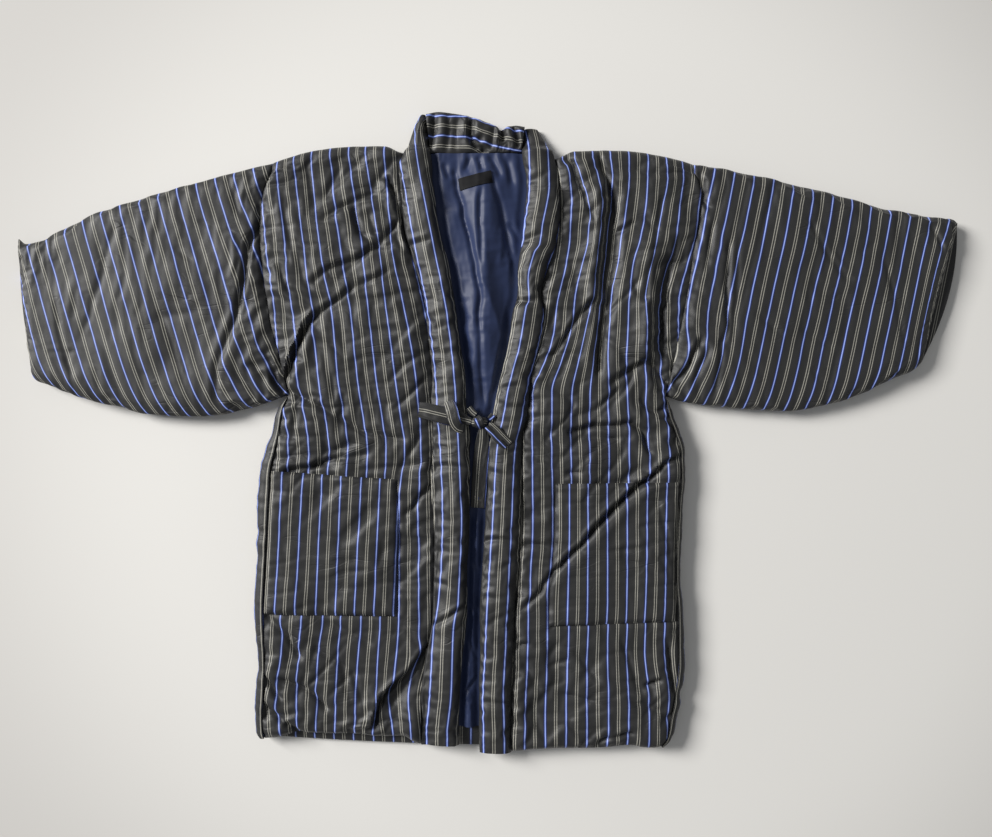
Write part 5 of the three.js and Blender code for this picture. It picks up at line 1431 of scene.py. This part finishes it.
def strip_piece(name, rows, steps, round_edge, seed, dents, stripe_at=0.0, groove=0.0, spacing=1.0):
    """A flat or rounded strip along its middle line.

    stripe_at moves its cream lines, groove splits it in two and spacing sets the lines apart.
    """
    at = np.linspace(0, rows[-1][0], steps)
    x, y, z = (read(rows, at, column) for column in (1, 2, 3))
    width, thick, turn = (read(rows, at, column) for column in (4, 5, 6))
    way_x, way_y = np.gradient(x), np.gradient(y)
    run = np.hypot(way_x, way_y)
    side_x, side_y = -way_y / run, way_x / run
    turn = np.radians(turn)
    length = np.concatenate([[0], np.cumsum(np.hypot(np.diff(x), np.diff(y)))])
    rings, cloth = [], []
    for angle in np.linspace(0, 2 * math.pi, strip_sides, endpoint=False):
        c, s = math.cos(angle), math.sin(angle)
        flat = math.copysign(abs(c) ** round_edge, c) * 0.5
        lift = math.copysign(abs(s) ** (0.5 if round_edge < 0.9 else 1), s) * 0.5
        wave = dents * rough(length + 90 * c, length * 0 + 7, 9, 9, seed) * (1 if s > 0 else 0.2)
        over = flat * width
        up = lift * thick + wave * abs(s)
        if s > 0:
            up = up - groove * np.exp(-(over / 1.6) ** 2)
        level = over * np.cos(turn)
        rings.append(np.stack([x + side_x * level, y + side_y * level, z + up + over * np.sin(turn)], -1))
        cloth.append(np.stack([over * spacing + stripe_repeat / 2 + stripe_at + 0 * x, length], -1))
    return ring_piece(name, np.array(rings).transpose(1, 0, 2), np.array(cloth).transpose(1, 0, 2))


# Columns: piece, its rows, steps, node, flat size, dents, place of the cream lines, groove, spacing
tie_pieces = [
    ("tie_loop_strip", tie_loop_rows, 60, "tie_loop", (0.025, 0.08), 0.9, 0.0, 0.0, 1.0),
    ("tie_loop_fold", tie_fold_rows, 44, None, (0.018, 0.055), 0.8, 5.1, 0.0, 1.0),
    ("tie_end_strip", tie_end_rows, 44, "tie_end", (0.018, 0.042), 0.5, -6.8, 2.2, 1.365),
    ("tie_tail_strip", tie_tail_rows, 70, "tie_tail", (0.022, 0.115), 0.9, 3.0, 0.0, 1.0),
    ("tie_root_right_strip", tie_root_right_rows, 14, "tie_root_right", (0.011, 0.014), 0.3, 0.0, 0.0, 1.0),
    ("tie_root_left_strip", tie_root_left_rows, 14, "tie_root_left", (0.01, 0.0101), 0.3, 12.0, 0.0, 1.0),
    ("tie_knot_wrap", tie_wrap_rows, 30, None, (0.012, 0.03), 0.9, -11.0, 0.0, 1.0),
]
for k, (name, rows, steps, node_name, flat, dents, stripe_at, groove, spacing) in enumerate(tie_pieces):
    strip = strip_piece(name, rows, steps, 0.6, 700 + k, dents, stripe_at, groove, spacing)
    if node_name:
        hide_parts(node_name)
knot = strip_piece("tie_knot_lump", knot_rows, 30, 1.0, 720, 1.6)
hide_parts("tie_knot")

# Neck label.
# A small dark woven tape sewn flat on the lining under the neck seam, left bare.
label_left, label_right, label_height = (-39, 345), (7, 355.5), 17
label_lean = 2.8
label_thick = 0.6
label_black = (0.004, 0.004, 0.005, 1)
label_lit = (0.011, 0.011, 0.012, 1)
label_share = np.linspace(0, 1, 40)[None, :]
label_up = np.linspace(-0.5, 0.5, 14)[:, None]
label_x = label_left[0] + (label_right[0] - label_left[0]) * label_share - label_up * label_lean
label_y = label_left[1] + (label_right[1] - label_left[1]) * label_share + label_up * label_height
label_row = (label_y - lining_y[0, 0]) / (lining_y[-1, 0] - lining_y[0, 0]) * (lining_steps - 1)
label_column = np.interp(label_x, lining_x[380], np.arange(lining_columns))
row, column = label_row.astype(int), label_column.astype(int)
down, over = label_row - row, label_column - column
heights = lining_upper[..., 2]
label_base = heights[row, column] * (1 - down) * (1 - over) + heights[row + 1, column] * down * (1 - over)
label_base = label_base + heights[row, column + 1] * (1 - down) * over
label_base = label_base + heights[row + 1, column + 1] * down * over
label_base = label_base + 0.7 + 0.2 * rough(label_x, label_y, 16, 16, 81)
label_finish = bpy.data.materials.new("label_tape")
label_finish.use_nodes = True
tree = label_finish.node_tree
label_shader = tree.nodes["Principled BSDF"]
label_place = node(tree, "ShaderNodeUVMap", -900, 0, uv_map="Cloth")
label_thread = node(tree, "ShaderNodeTexWave", -600, 0, bands_direction="Y")
label_thread.inputs["Scale"].default_value = 700.0
tree.links.new(label_place.outputs[0], label_thread.inputs["Vector"])
label_tone = mix_node(tree, label_thread.outputs["Fac"], label_black, label_lit, -300, 0)
tree.links.new(label_tone, label_shader.inputs["Base Color"])
label_shader.inputs["Roughness"].default_value = 0.7
label_shader.inputs["Specular IOR Level"].default_value = 0.15
label = sheet_piece(
    "neck_tape",
    np.stack([label_x, label_y, label_base + label_thick], -1),
    np.stack([label_x, label_y, label_base], -1),
    np.stack([label_x, label_y], -1),
    label_finish,
)
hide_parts("neck_label")
